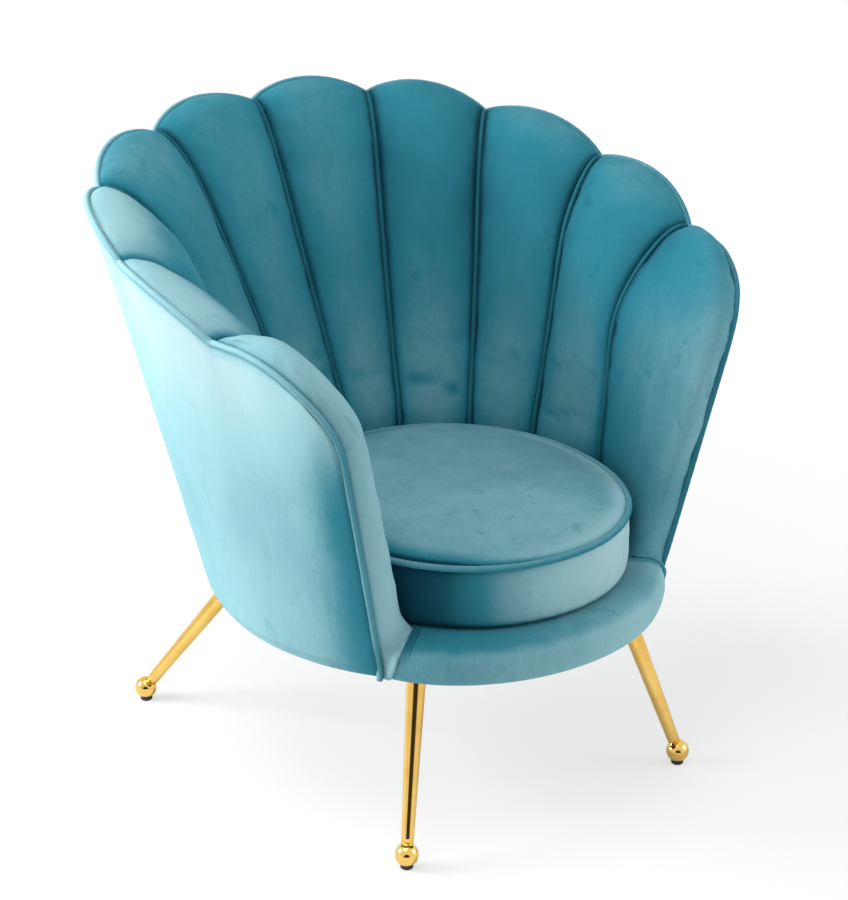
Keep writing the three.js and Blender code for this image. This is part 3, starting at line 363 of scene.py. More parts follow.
def channel_edges(steps):
    """The edge over each channel, in so many steps"""
    shares = np.linspace(0, 1, steps, endpoint=False)
    return [channel_edge(channel, shares) for channel in range(CHANNELS)]


def seam_nodes(seam):
    return ["channel_welt_centre"] if seam == 0 else [f"channel_welt_{side}_{seam}" for side in SIDES]


def seam_middle(seam):
    """Middle line of a seam's piping from the rim down, on the left side"""
    return piping_line(seam_nodes(seam)[0], lambda place: place[2])[::-1]


# Where a seam starts on the rim piping, in and up, as shares of that piping's radius
START_SHARES = np.array([-0.94, 0.34])


def seam_line(seam):
    """Rows of a seam from rim to foot: plan radius, angle, height, way out of the padding and crown"""
    radius, angle, height = polar(np.vstack([SEAM_ENDS[seam][None], seam_middle(seam)[1:]]))
    path = np.stack([radius, height], axis=-1)
    path[0] += piping().rim * START_SHARES
    tangent = unit(np.gradient(path, axis=0))
    normal = np.stack([tangent[:, 1], -tangent[:, 0]], axis=-1)
    path -= normal * piping().proud
    return {"radius": path[:, 0], "height": path[:, 1], "angle": angle, "normal": normal,
            "crown": crown_rows(len(path))}


# Rows of a seam in the roll at the rim
CROWN_ROWS = 6


def crown_rows(count):
    """Rise of a channel row by row: full over the roll at the rim, then less down to the seat"""
    share = np.clip((np.arange(count) - CROWN_ROWS + 1) / (count - CROWN_ROWS - 1), 0, 1)
    return lerp(sizes().channel_crown, sizes().seat_crown, share)


SEAM_KEYS = ("radius", "height", "angle", "crown")


def seam_at(line, rows):
    """The seam read between its rows"""
    knots = np.arange(len(line["radius"]))
    read = {key: smooth(knots, line[key], rows) for key in SEAM_KEYS}
    read["normal"] = unit(smooth(knots, line["normal"], rows))
    return read


def mix_lines(a, b, share):
    """Rows between two seams, one column for each share"""
    mixed = {key: lerp(a[key][:, None], b[key][:, None], share) for key in SEAM_KEYS}
    mixed["normal"] = unit(lerp(a["normal"][:, None], b["normal"][:, None], share[None, :, None]))
    return mixed


def beside(line, lateral, rise):
    """Points beside a seam: lateral runs along the plan angle, rise runs out of the padding"""
    angle = line["angle"] + np.degrees(lateral / line["radius"])
    return plan(line["radius"] + line["normal"][..., 0] * rise, angle,
                line["height"] + line["normal"][..., 1] * rise)


# Meshes

def grid_faces(rows, columns, round_rows=False, round_columns=False):
    faces = []
    for row in range(rows if round_rows else rows - 1):
        here, ahead = row * columns, (row + 1) % rows * columns
        for column in range(columns if round_columns else columns - 1):
            turn = (column + 1) % columns
            faces.append((here + column, here + turn, ahead + turn, ahead + column))
    return faces


def ringed(rings):
    """Points and faces of a closed piece from its rings, with a face over each end"""
    rings = np.asarray(rings)
    rows, columns = rings.shape[:2]
    last = (rows - 1) * columns
    ends = [tuple(range(columns)), tuple(range(last + columns - 1, last - 1, -1))]
    return rings.reshape(-1, 3), grid_faces(rows, columns, round_columns=True) + ends


# Plan angles of the points of a round disc
DISC_TURNS = np.arange(96) * 3.75


def closed_sheet(front, back):
    """Closed pad from its front grid and its back grid, which have the same rows and columns"""
    rows, columns = front.shape[:2]
    count = rows * columns
    faces = grid_faces(rows, columns)
    faces += [tuple(index + count for index in reversed(face)) for face in faces]
    border = [*range(columns), *range(2 * columns - 1, count, columns),
              *range(count - 2, count - columns - 1, -1), *range(count - 2 * columns, 0, -columns)]
    for index, here in enumerate(border):
        there = border[(index + 1) % len(border)]
        faces.append((there, here, here + count, there + count))
    return np.concatenate([front.reshape(-1, 3), back.reshape(-1, 3)]), faces


def tube(line, radius, sides, loop=False, squeeze=1.0):
    """Round piping along a line; squeeze scales the radius point by point"""
    if loop:
        onward = unit(np.roll(line, -1, axis=0) - np.roll(line, 1, axis=0))
    else:
        onward = unit(np.gradient(line, axis=0))
    across = unit(np.cross(onward, [0, 0, 1]) + np.array([1e-9, 0, 0]))
    for index in range(1, len(across)):
        if np.dot(across[index], across[index - 1]) < 0:
            across[index] *= -1
    up = np.cross(across, onward)
    turns = np.arange(sides) * 2 * math.pi / sides
    scale = np.broadcast_to(squeeze, len(line))[:, None, None]
    ring = across[:, None] * np.cos(turns)[None, :, None] + up[:, None] * np.sin(turns)[None, :, None]
    rings = line[:, None] + ring * radius * scale
    if loop:
        return rings.reshape(-1, 3), grid_faces(len(line), sides, round_rows=True, round_columns=True)
    return ringed(rings)


def joined(parts):
    """One list of vertices and faces from several"""
    points, faces, first = [], [], 0
    for vertices, polygons in parts:
        points.append(vertices)
        faces += [tuple(index + first for index in face) for face in polygons]
        first += len(vertices)
    return np.concatenate(points), faces


def mirrored(points):
    return points * np.array([-1, 1, 1])


def sided(points, side):
    return points if side == "left" else mirrored(points)


def linked(name, data):
    """A new object of the scene with this mesh, lamp or camera"""
    made = bpy.data.objects.new(name, data)
    bpy.context.scene.collection.objects.link(made)
    return made


def mesh_of(name, points, faces):
    mesh = bpy.data.meshes.new(name)
    mesh.from_pydata([tuple(point) for point in points], [], faces)
    return mesh


def add_piece(name, shape, finish, nodes=(), body="shell", nap_and_painted_light=None):
    """A piece of these points and faces on its body, with its finish and the nodes it stands for"""
    mesh = mesh_of(name, *shape)
    # Per point shading value for the velvet: painted light and shade, with a little of the pile's own tone
    if nap_and_painted_light is not None:
        nap_and_painted_light = np.broadcast_to(np.ravel(nap_and_painted_light), len(mesh.vertices)).astype(np.float32)
        mesh.attributes.new("nap_and_painted_light", "FLOAT", "POINT").data.foreach_set("value", nap_and_painted_light)
    shaped = bmesh.new()
    shaped.from_mesh(mesh)
    bmesh.ops.recalc_face_normals(shaped, faces=shaped.faces)
    shaped.to_mesh(mesh)
    shaped.free()
    mesh.polygons.foreach_set("use_smooth", [True] * len(mesh.polygons))
    mesh.materials.append(finish_of(finish))
    piece = linked(name, mesh)
    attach(piece, body)
    if nodes:
        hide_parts(*nodes)
    return piece


# Shader maths

class Value:
    """A number or colour on its way through a material; sums and products add Math nodes"""

    def __init__(self, paint, socket):
        self.paint = paint
        self.socket = socket

    def maths(self, operation, first, second):
        return self.paint.node("ShaderNodeMath", {0: first, 1: second}, operation=operation)

    def __add__(self, other):
        return self.maths("ADD", self, other)

    def __radd__(self, other):
        return self.maths("ADD", other, self)

    def __sub__(self, other):
        return self.maths("SUBTRACT", self, other)

    def __rsub__(self, other):
        return self.maths("SUBTRACT", other, self)

    def __mul__(self, other):
        return self.maths("MULTIPLY", self, other)

    def clamped(self, low, high):
        """0 up to low and 1 from high, with a soft step between"""
        return self.paint.node("ShaderNodeMapRange", {"Value": self, "From Min": low, "From Max": high},
                               interpolation_type="SMOOTHSTEP")


class Paint:
    """The nodes of one material or of the world"""

    def __init__(self, name, world=False):
        self.made = (bpy.data.worlds if world else bpy.data.materials).new(name)
        self.made.use_nodes = True
        self.tree = self.made.node_tree
        self.tree.nodes.clear()

    def node(self, kind, sockets=None, output=0, **settings):
        """A node with its settings, then the values or links of its sockets"""
        made = self.tree.nodes.new(kind)
        for key, value in settings.items():
            setattr(made, key, value)
        for key, value in (sockets or {}).items():
            socket = made.inputs[key]
            if isinstance(value, Value):
                self.tree.links.new(value.socket, socket)
            else:
                socket.default_value = value
        return Value(self, made.outputs[output]) if len(made.outputs) else made

    def place(self):
        return self.node("ShaderNodeTexCoord", output=3)

    def noise(self, scale, detail=2.0, roughness=0.5, stretch=(1, 1, 1), distortion=0.0):
        """Cloudy field from 0 to 1, with so many clouds in a metre"""
        vector = self.node("ShaderNodeVectorMath", {0: self.place(), 1: stretch}, operation="MULTIPLY")
        return self.node("ShaderNodeTexNoise", {"Vector": vector, "Scale": scale, "Detail": detail,
                                                "Roughness": roughness, "Distortion": distortion})

    def attribute(self, name):
        return self.node("ShaderNodeAttribute", output=2, attribute_name=name)

    def mixed(self, factor, first, second):
        """Colour between two colours"""
        return self.node("ShaderNodeMix", {0: factor, 6: first, 7: second}, output=2, data_type="RGBA")

    def bumped(self, height, distance, strength):
        return self.node("ShaderNodeBump", {"Height": height, "Distance": distance, "Strength": strength})

    def finish(self, **sockets):
        """The surface: a principled shader with these sockets"""
        named = {key.replace("_", " "): value for key, value in sockets.items()}
        self.node("ShaderNodeOutputMaterial", {"Surface": self.node("ShaderNodeBsdfPrincipled", named)})
        return self.made


def velvet(name, depth=1.0, piped=False):
    """Short cut pile: soft clouds and streaks from the brushing, fingertip smudges and fine tufts, over the
    painted light and shade that each piece carries
    """
    look = bpy.context.scene.chair_velvet
    paint = Paint(name)
    cloud = paint.noise(7, detail=2, roughness=0.5, stretch=(1, 1, 0.6), distortion=0.4)
    streak = paint.noise(34, detail=4, roughness=0.62, stretch=(1, 1, 0.22), distortion=0.5)
    smudge = paint.noise(40, detail=3, roughness=0.65, stretch=(1, 1, 0.6), distortion=0.3)
    fine = paint.noise(210, detail=3, roughness=0.7, stretch=(1, 1, 0.5))
    pile = paint.noise(2600, detail=2, roughness=0.8)
    pressed = smudge.clamped(0.56, 0.74) * cloud.clamped(0.42, 0.62)
    lean = (cloud - 0.5) * 0.24 + (streak - 0.5) * 0.13 + (fine - 0.5) * 0.10 + (pile - 0.5) * 0.14
    # The attribute holds the painted light and shade of each piece; the noises add the pile's own uneven tone
    # and smudges
    nap_and_painted_light = paint.attribute("nap_and_painted_light") + (lean - pressed * 0.10) * depth
    # Painted shade blends towards deep, painted light towards light and then to the painted highlight colour
    dark = paint.mixed(nap_and_painted_light.clamped(0.02, 0.55), tuple(look.deep), tuple(look.body))
    shade = paint.mixed(nap_and_painted_light.clamped(0.46, 1.06), dark, tuple(look.light))
    shade = paint.mixed(nap_and_painted_light.clamped(0.98, 1.40), shade, tuple(look.bright))
    weave = paint.noise(1500, detail=2, roughness=0.6)
    height = pile * 0.5 + weave * 0.5 + fine * (0.7 if piped else 1.2)
    normal = paint.bumped(height, 0.0006, 0.55)
    return paint.finish(Base_Color=shade, Roughness=0.85, Normal=normal, Sheen_Weight=0.09,
                        Sheen_Roughness=0.42, Sheen_Tint=tuple(look.sheen), Specular_IOR_Level=0.08)


def gilt(name):
    """Mirror plating with faint hazy patches and fine wiping marks"""
    look = bpy.context.scene.chair_metal
    paint = Paint(name)
    haze = paint.noise(14, detail=4, roughness=0.6)
    wiped = paint.noise(420, detail=2, roughness=0.5, stretch=(1, 1, 0.06))
    shade = paint.mixed(haze.clamped(0.35, 0.75), tuple(look.gold), tuple(look.gold_deep))
    rough = 0.045 + haze.clamped(0.45, 0.8) * 0.05 + wiped * 0.03
    return paint.finish(Base_Color=shade, Metallic=1.0, Roughness=rough,
                        Normal=paint.bumped(wiped, 0.00003, 0.2))


def plain_finish(name, first, second, roughness, scale, stretch=(1, 1, 1), metallic=0.0, relief=0.0002):
    """A finish of two near colours in a cloudy or drawn out pattern, with relief to match"""
    paint = Paint(name)
    cloud = paint.noise(scale, detail=5, roughness=0.62, stretch=stretch, distortion=0.3)
    grain = paint.noise(scale * 9, detail=3, roughness=0.6, stretch=stretch)
    pattern = cloud * 0.6 + grain * 0.4
    shade = paint.mixed(pattern.clamped(0.36, 0.64), first, second)
    rough = roughness + (grain - 0.5) * 0.2
    return paint.finish(Base_Color=shade, Metallic=metallic, Roughness=rough,
                        Normal=paint.bumped(pattern, relief, 0.5))


FINISHES = {}


def finish_of(name):
    """The named finish, made once"""
    if name not in FINISHES:
        FINISHES[name] = FINISH_MAKERS[name](name)
    return FINISHES[name]


FINISH_MAKERS = {
    "teal_velvet": velvet,
    "velvet_piping_cord": lambda name: velvet(name, depth=0.7, piped=True),
    "gilt_plating": gilt,
    "birch_plywood": lambda name: plain_finish(
        name, (0.56, 0.36, 0.18, 1), (0.68, 0.48, 0.27, 1), roughness=0.6, scale=9, stretch=(1, 1, 6)),
    "spring_steel": lambda name: plain_finish(
        name, (0.30, 0.31, 0.32, 1), (0.42, 0.42, 0.43, 1), roughness=0.38, scale=60, metallic=1.0,
        relief=0.00005),
    "dust_cloth_weave": lambda name: plain_finish(
        name, (0.010, 0.010, 0.011, 1), (0.026, 0.026, 0.028, 1), roughness=0.85, scale=380, relief=0.0003),
    "glide_plastic": lambda name: plain_finish(
        name, (0.008, 0.008, 0.008, 1), (0.016, 0.016, 0.017, 1), roughness=0.42, scale=240,
        relief=0.00005),
}


# Padding

CHANNEL_COLUMNS = 45
CHANNEL_SHARES = (1 - np.cos(np.linspace(0, math.pi, CHANNEL_COLUMNS))) / 2
ROW_STEPS = 7
# Distance between the gathers beside a seam, and between those beside the edge piping
SEAM_GATHER = 0.0125
EDGE_GATHER = 0.0082
# Shading value where nothing shows, and how much painted shade a crease or a pleat gets for each metre of its
# depth
HIDDEN_NAP = 0.5
CREASE_PAINTED_SHADE = 125
PLEAT_PAINTED_SHADE = 260
# Way towards which the piping gets its painted highlight, and the plan angle that painted light comes from on
# the upright covers
LIGHT_WAY = np.array([-0.55, 0.25, 0.8])
LIGHT_SIDE = 112.0
# How far below the rim the back of a pad starts
PAD_DROP = 0.036
# Place over the seat that the front of every pad faces
LOOKOUT = np.array([0, CENTRE_Y, 1.2])


def crowned(shares, fullness=2.3, softness=0.78):
    """Shape of a stuffed channel across its width, 0 at the seams and 1 in the middle"""
    return np.maximum(0, 1 - np.abs(2 * shares - 1) ** fullness) ** softness


def seam_dip(distance):
    return -sizes().seam_depth * bump(distance, sizes().seam_width)


def uneven(points, normals, amount=1.0):
    """Covers pulled over foam are never quite even"""
    height = waves(points, 0.085, 11) * 1.3 + waves(points, 0.034, 12) * 0.7 + waves(points, 0.015, 13) * 0.3
    return points + normals * (height * sizes().wrinkle * amount)[..., None]


def sheet_normals(points):
    """Directions square to a grid of points"""
    across = np.gradient(points, axis=1)
    down = np.gradient(points, axis=0)
    return unit(np.cross(down, across))


def inward(points, normals):
    """The same directions, turned to the inside of the chair"""
    away = np.sum(normals * (points - LOOKOUT), axis=-1, keepdims=True)
    return np.where(away > 0, -normals, normals)


def pad_back(points, rim_height):
    """Back of a pad: down inside the frame, behind each point of its front"""
    angle = polar(points)[1]
    share = np.linspace(0, 1, len(points))[:, None]
    height = lerp(rim_height - PAD_DROP, RING_TOP + CLEARANCE, share)
    return plan(wall_radius(angle, height) - sizes().pad_thickness, angle, height)


def channel_front(channel, near, far):
    """Front of one channel: rows from the rim piping down to the foot"""
    shares = CHANNEL_SHARES
    rim_line = channel_edge(channel, shares)
    rim_frames = edge_frames(rim_line)
    rows = mix_lines(near, far, shares)
    width = rows["radius"] * np.radians(far["angle"] - near["angle"])[:, None]
    distance = np.minimum(shares, 1 - shares) * width
    rise = rows["crown"] * crowned(shares) + seam_dip(distance)
    body = beside(rows, 0, rise)
    rim_rows = [round_edge(rim_line, place, rim_frames)[None] for place in (TUCK, LIP)]
    control = np.concatenate([*rim_rows, body[1:]])
    knots = along(control)
    at = finer(knots, ROW_STEPS)
    front = smooth(knots, control, at)
    widths = np.interp(at, knots, np.concatenate([width[:1, 0], width[:, 0]]))
    return front, at, np.minimum(shares, 1 - shares) * widths[:, None]


# Height, tilt and depth of the soft creases that sitting leaves in the back
CREASES = ((0.412, 0.010, 0.0017), (0.447, -0.014, 0.0013), (0.476, 0.008, 0.0008))
CREASE_WIDTH = 0.0036


def sewn_details(front, run, distance):
    """Small gathers along the seams, soft creases above the cushion and uneven stuffing"""
    normals = inward(front, sheet_normals(front))
    _, angle, height = polar(front)
    gather = gathers(run[:, None], SEAM_GATHER, 3 * waves(front, 0.05, 3))
    relief = gather * bump(distance, 0.009) * 0.00035
    creased = np.zeros(height.shape)
    for level, tilt, depth in CREASES:
        crease = level + tilt * np.sin(np.radians(angle * 4)) + 0.004 * waves(front, 0.06, int(level * 1000))
        strength = ease(-0.5, 0.9, waves(front, 0.12, int(level * 2000)))
        creased += depth * strength * bump(height - crease, CREASE_WIDTH) * ease(0.004, 0.024, distance)
    rolled = ease(0.0, 0.02, run[:, None])
    return uneven(front + normals * ((relief - creased) * rolled)[..., None], normals), creased


# Painted highlight on the crest of each channel, from the back round to the wing
CREST_PAINTED_LIGHT = (0, 0.08, 0.44, 0.42)


def painted_light_of_channel(channel, front, run, distance, creased):
    """Painted shade in the seams and creases, and painted light over the crowns and on the side crests"""
    height = front[..., 2]
    # Painted shade in and beside the seams
    nap_and_painted_light = 0.56 - 0.40 * bump(distance, 0.007) - 0.14 * bump(distance, 0.026)
    # Lighter lower down and a little darker just over the cushion: painted light and painted shade
    nap_and_painted_light += 0.15 * ease(0.60, 0.42, height) - 0.06 * ease(0.40, 0.37, height)
    # Painted shade on the upper part of the channels at +X, painted light at middle height on those at -X
    nap_and_painted_light -= 0.12 * ease(0.50, 0.68, height) * ease(0.05, 0.25, front[..., 0])
    nap_and_painted_light += 0.16 * ease(0.66, 0.50, height) * ease(-0.05, -0.22, front[..., 0])
    # Painted highlight on the crests, strongest at -X, and painted shade in the creases
    painted_crest_light = CREST_PAINTED_LIGHT[channel] * ease(0.10, 0.02, run[:, None])
    return nap_and_painted_light + painted_crest_light * lerp(0.3, 1, ease(0.1, -0.1, front[..., 0])) - creased * CREASE_PAINTED_SHADE


# Front rail's section, which the wings' feet lie on

HALF_TURN = 180.0
RAIL_LAP = 1.2


def rail_swell(angle):
    """1 in the middle of the front and 0 at each end of the rail"""
    start = polar(EDGE[-1])[1] + RAIL_LAP
    return 1 - np.abs((HALF_TURN - angle) / (HALF_TURN - start)) ** 4


def rail_face(angle):
    """Plan radius and height down the rail's padding, from the deck's edge over the nose to the chin"""
    low, high = FLOOR_GAP, DECK_TOP
    middle = (low + high) / 2
    far = covers().base_radius + covers().rail_nose * rail_swell(angle)
    shoulder, chin = covers().rail_shoulder, covers().rail_chin
    near = DECK_RADIUS + DECK_GAP
    points = [(lerp(near, far - shoulder, part), high) for part in (0, 0.35, 0.7)]
    for turn in np.radians(np.linspace(90, 0, 12)):
        points.append((far - shoulder + shoulder * math.cos(turn) ** 0.92,
                       middle + (high - middle) * math.sin(turn) ** 0.95))
    for turn in np.radians(np.linspace(-8, -90, 10)):
        points.append((far - chin + chin * math.cos(turn), middle + (middle - low) * math.sin(turn)))
    return np.array(points)


# Wing padding: slices from the last seam over the front roll to the edge piping

# Steps out of the last seam: along the plan angle and out of the padding
DIVE = ((0.0006, -0.0045), (0.0028, -0.0022), (0.0041, 0.0006))
CORNER_SHARE = 0.72
ARCH_SHARES = np.concatenate([np.linspace(0, 0.69, 22), [0.70, 0.707, 0.713, CORNER_SHARE],
                              np.linspace(0.735, 1, 16)])
CORNER_COLUMN = len(DIVE) + int(np.argmin(np.abs(ARCH_SHARES - CORNER_SHARE)))
ARM_THICKNESS = 0.104
# How much the front roll grows and the inner face's crown goes down towards the deck
NOSE_GROWTH = 0.45
CROWN_PRESS = 1.5
# Drop of the wing's first row below the rim's last notch
NOTCH_DROP = 0.002
FOOT_STEPS = 22
# Plan radius and angle of the wing's corner on the rail, and the angle where its seam ends
FOOT_TOP = (0.2362, 134.4)
FOOT_LOW = 130.2
FOOT_PROUD = 0.0008
FOOT_SWELL = 0.0030
FLARE_HEIGHT = 0.044
# Steps in under the foot's seam, the depth of each into the rail, and the reach of each later one inwards
UNDER_STEPS = 4
UNDER_DEPTH = 0.0013
UNDER_REACH = 0.001
# Back of the wing's padding: its top, its drop below the front, the foot's level and inset, its last angle
BACK_TOP = 0.65
BACK_DROP = 0.02
FOOT_LEVEL = 0.3
FOOT_INSET = 0.03
BACK_END = 124.0


def bezier_weights(share):
    rest = 1 - share
    return rest ** 3, 3 * rest ** 2 * share, 3 * rest * share ** 2, share ** 3


# Rows of the last seam that the wing's first rows start from, and the step in which later ones are found
WING_TOP_ROWS = (0.4, 0.8, 1.4, 2, 2.7, 3.35)
ROW_SEARCH = 0.02


def wing_seam_rows(line, edge_heights):
    """Row of the last seam that each row of the wing starts from"""
    rows = np.arange(2, len(line["height"]) - 1, ROW_SEARCH)
    heights = seam_at(line, rows)["height"]
    later = [rows[np.argmin(np.abs(heights - height))] for height in edge_heights[len(WING_TOP_ROWS):]]
    return np.array([*WING_TOP_ROWS, *later])


def wing_control(line):
    """Coarse rows of the wing's padding, down to the level of the deck"""
    rows = slice(WING_START, -2)
    edge = EDGE[rows]
    frames = tuple(part[rows] for part in edge_frames(EDGE))
    seam = seam_at(line, wing_seam_rows(line, edge[:, 2]))
    start = beside(seam, *DIVE[-1])
    base = beside(seam, 0, 0)
    end = round_edge(edge, LAP, frames)
    chord = end - start
    reach = np.minimum(1, np.linalg.norm(chord, axis=-1, keepdims=True) / ARM_THICKNESS)
    bulge = unit(np.cross(np.gradient((base + edge) / 2, axis=0), chord))
    corner_height = EDGE[WING_START + 7, 2]
    low = np.clip((corner_height - edge[:, 2:]) / (corner_height - DECK_TOP), 0, 1)
    inner = start + chord * 0.4 + bulge * sizes().wing_crown * reach * (1 - CROWN_PRESS * low)
    outer = end + chord * 0.12 + bulge * sizes().wing_nose * reach * (1 + NOSE_GROWTH * low)
    corner = plan(*FOOT_TOP, edge[-1, 2])
    first, second, third, last = bezier_weights(CORNER_SHARE)
    pulled = (corner - first * start[-1] - second * inner[-1] - last * end[-1]) / third
    weights = bezier_weights(ARCH_SHARES[:, None])
    arch = sum(weight * place[:, None] for weight, place in zip(weights, (start, inner, outer, end)))
    dive = [beside(seam, lateral, rise)[:, None] for lateral, rise in DIVE]
    tuck = round_edge(edge, TUCK, frames)[:, None]
    flare = weights[2] * (pulled - outer[-1])
    flare = np.concatenate([np.zeros((len(DIVE), 3)), flare, np.zeros((1, 3))])
    return np.concatenate([*dive, arch, tuck], axis=1), flare


def corner_run(face, run):
    """Run down the rail's section at which the wing's corner meets it"""
    return np.interp(FOOT_TOP[0], face[:4, 0], run[:4])


# Places of the pleats beside the foot's seam, and their width
PLEATS = (0.0032, 0.0066, 0.0102)
PLEAT_WIDTH = 0.0011


def pleated(face, angle):
    """The rail's section at a plan angle, let in under the wing's foot and pleated beside its seam"""
    run = along(face)
    first = corner_run(face, run)
    part = (run - first) / (run[-1] - first)
    beyond = np.radians(angle - seam_on_rail(part)) * face[:, 0]
    let_in = 0.0024 * ease(0.0012, -0.0012, beyond) * ease(-0.1, 0.05, part)
    pleats = sum(bump(beyond - place, PLEAT_WIDTH) for place in PLEATS)
    pleats = 0.0012 * pleats * ease(0.75, 0.25, part) * ease(-0.12, 0.02, part)
    slope = unit(np.gradient(face, axis=0))
    out = np.stack([-slope[:, 1], slope[:, 0]], axis=-1)
    return face - out * (let_in + pleats)[:, None], pleats


def seam_on_rail(part):
    """Plan angle of the foot's seam, part of its way down the rail"""
    return lerp(FOOT_TOP[1], FOOT_LOW, np.clip(part, 0, 1) ** 1.7)


def on_rail(angle, part):
    """Place part of the way down the rail's padding from the wing's corner, and the way out there"""
    face = rail_face(angle)
    run = along(face)
    at = lerp(corner_run(face, run), run[-1], part)
    near, place, ahead = smooth(run, face, [at - 0.0006, at, at + 0.0006])
    out = way_out(angle, near[1] - ahead[1], ahead[0] - near[0])
    return plan(place[0], angle, place[1]), unit(out)


def wing_foot(last):
    """Rows that carry the wing's front roll on down over the end of the rail to the base"""
    share = np.linspace(0, 1, FOOT_STEPS + 1)
    frames = edge_frames(EDGE)
    outer = []
    for place in (LAP, TUCK):
        line = round_edge(EDGE, place, frames)[-3:]
        fall = (line[0, 2] - line[:, 2]) / (line[0, 2] - line[-1, 2])
        outer.append(np.stack([np.interp(share, fall, line[:, axis]) for axis in range(3)], axis=-1))
    across = np.clip((ARCH_SHARES - CORNER_SHARE) / (1 - CORNER_SHARE), 0, 1)
    across = np.concatenate([np.zeros(len(DIVE)), across, [1]])
    edge_angle = polar(EDGE[-1])[1] + RAIL_LAP
    rows, ways = [], []
    for part in share:
        found = [on_rail(lerp(seam_on_rail(part), edge_angle, step), part) for step in across]
        rows.append([place for place, _ in found])
        ways.append([way for _, way in found])
    rows, ways = np.array(rows), np.array(ways)
    across = across[None, :, None]
    rows = rows + ways * (FOOT_PROUD + FOOT_SWELL * np.sin(math.pi * across ** 0.8))
    rows = rows + (outer[0] - rows[:, -2])[:, None] * across ** 2
    rows[:, -1] = outer[1]
    fade = (1 - ease(0, 1, share))[:, None, None]
    rows = rows + (last - rows[0])[None] * fade
    under = (CORNER_COLUMN - np.arange(CORNER_COLUMN))[None, :, None]
    seam, way = rows[:, CORNER_COLUMN:CORNER_COLUMN + 1], ways[:, CORNER_COLUMN:CORNER_COLUMN + 1]
    deep = way * np.minimum(under, UNDER_STEPS) * UNDER_DEPTH
    inside = level_way(seam, CENTRE_Y) * np.maximum(0, under - UNDER_STEPS) * UNDER_REACH
    rows[:, :CORNER_COLUMN] = seam - deep - inside
    return rows[1:]


def wing_front(line):
    """Front of the wing's padding, with the number of rows above its foot"""
    control, flare = wing_control(line)
    notch = SEAM_ENDS[CHANNELS] - np.array([0, 0, NOTCH_DROP])
    first = lerp(np.broadcast_to(notch, control[0].shape), control[0], 0.12)
    control = np.concatenate([first[None], control])
    knots = along(control)
    steps = np.full(len(knots) - 1, ROW_STEPS)
    steps[-1] = 3 * ROW_STEPS
    body = smooth(knots, control, finer(knots, steps))
    level = body[:, -2, 2]
    body = body + flare[None] * np.clip(1 - (level - level[-1]) / FLARE_HEIGHT, 0, 1)[:, None, None] ** 2.4
    return np.concatenate([body, wing_foot(body[-1])]), len(body)


def wing_details(front, body_rows):
    """Gathers beside the edge piping and the seam and uneven stuffing, with the distances from both"""
    normals = inward(front, sheet_normals(front))
    steps = np.linalg.norm(np.diff(front, axis=1), axis=-1)
    zero = np.zeros((len(front), 1))
    from_edge = np.concatenate([np.cumsum(steps[:, ::-1], axis=1)[:, ::-1], zero], axis=1)
    from_seam = np.concatenate([zero, np.cumsum(steps, axis=1)], axis=1)
    run = along(front[:, -1:, :])[:, None]
    gather = gathers(run, EDGE_GATHER, 3.5 * waves(front, 0.05, 21))
    strength = 0.0001 + 0.0008 * bump(run - run[body_rows // 2], 0.045)
    relief = gather * strength * bump(from_edge - 0.008, 0.010)
    relief += gathers(run, SEAM_GATHER) * 0.0002 * bump(from_seam - 0.004, 0.007)
    foot = np.clip((body_rows + 2 - np.arange(len(front))) / 5, 0, 1)[:, None]
    relief = relief * foot
    relief[:3] = 0
    relief[:, -2:] = 0
    return uneven(front + normals * relief[..., None], normals, 1.2), from_edge, from_seam


def painted_light_of_wing(front, from_edge, from_seam):
    """Painted light on the wing at -X and along each front roll; painted shade in the seams, beside the edge
    piping and on the other wing, most at its top
    """
    height = front[..., 2]
    # Painted light on the wing at -X, painted shade on the other wing, most at its top
    painted_side_light = np.where(front[..., 0] < 0, 0.12, -0.04 - 0.07 * ease(0.46, 0.36, height))
    painted_side_light -= np.where(front[..., 0] < 0, 0.02, 0.22) * ease(0.56, 0.68, height)
    # Painted highlight along the front roll, painted shade beside the edge piping and in the seam
    nap_and_painted_light = 0.66 + painted_side_light + 0.13 * bump(from_edge - 0.03, 0.03) - 0.28 * bump(from_edge, 0.0050)
    return nap_and_painted_light - 0.42 * bump(from_seam, 0.010) - 0.12 * bump(from_seam, 0.045)


def wing_back(front, body_rows):
    """Back of the wing's padding: inside the outer cover and down to the seat ring"""
    angle, height = polar(front)[1:]
    edge_height = front[:, -1:, 2]
    floor = RING_TOP + 0.001
    level = np.minimum(np.minimum(edge_height, BACK_TOP) - BACK_DROP, np.maximum(height - BACK_DROP, floor))
    level = np.where(edge_height < FOOT_LEVEL, np.minimum(height, floor), level)
    inset = np.where(np.arange(len(front)) < body_rows, sizes().pad_thickness, FOOT_INSET)[:, None]
    return plan(wall_radius(angle, level) - inset, np.minimum(angle, BACK_END), level)


def velvet_pad(name, node, front, back, nap_and_painted_light):
    """Closed pad whose front carries its own painted light and shade"""
    nap_and_painted_light = np.concatenate([np.ravel(nap_and_painted_light), np.full(back.size // 3, HIDDEN_NAP)])
    pad = add_piece(name, closed_sheet(front, back), "teal_velvet", [node], nap_and_painted_light=nap_and_painted_light)


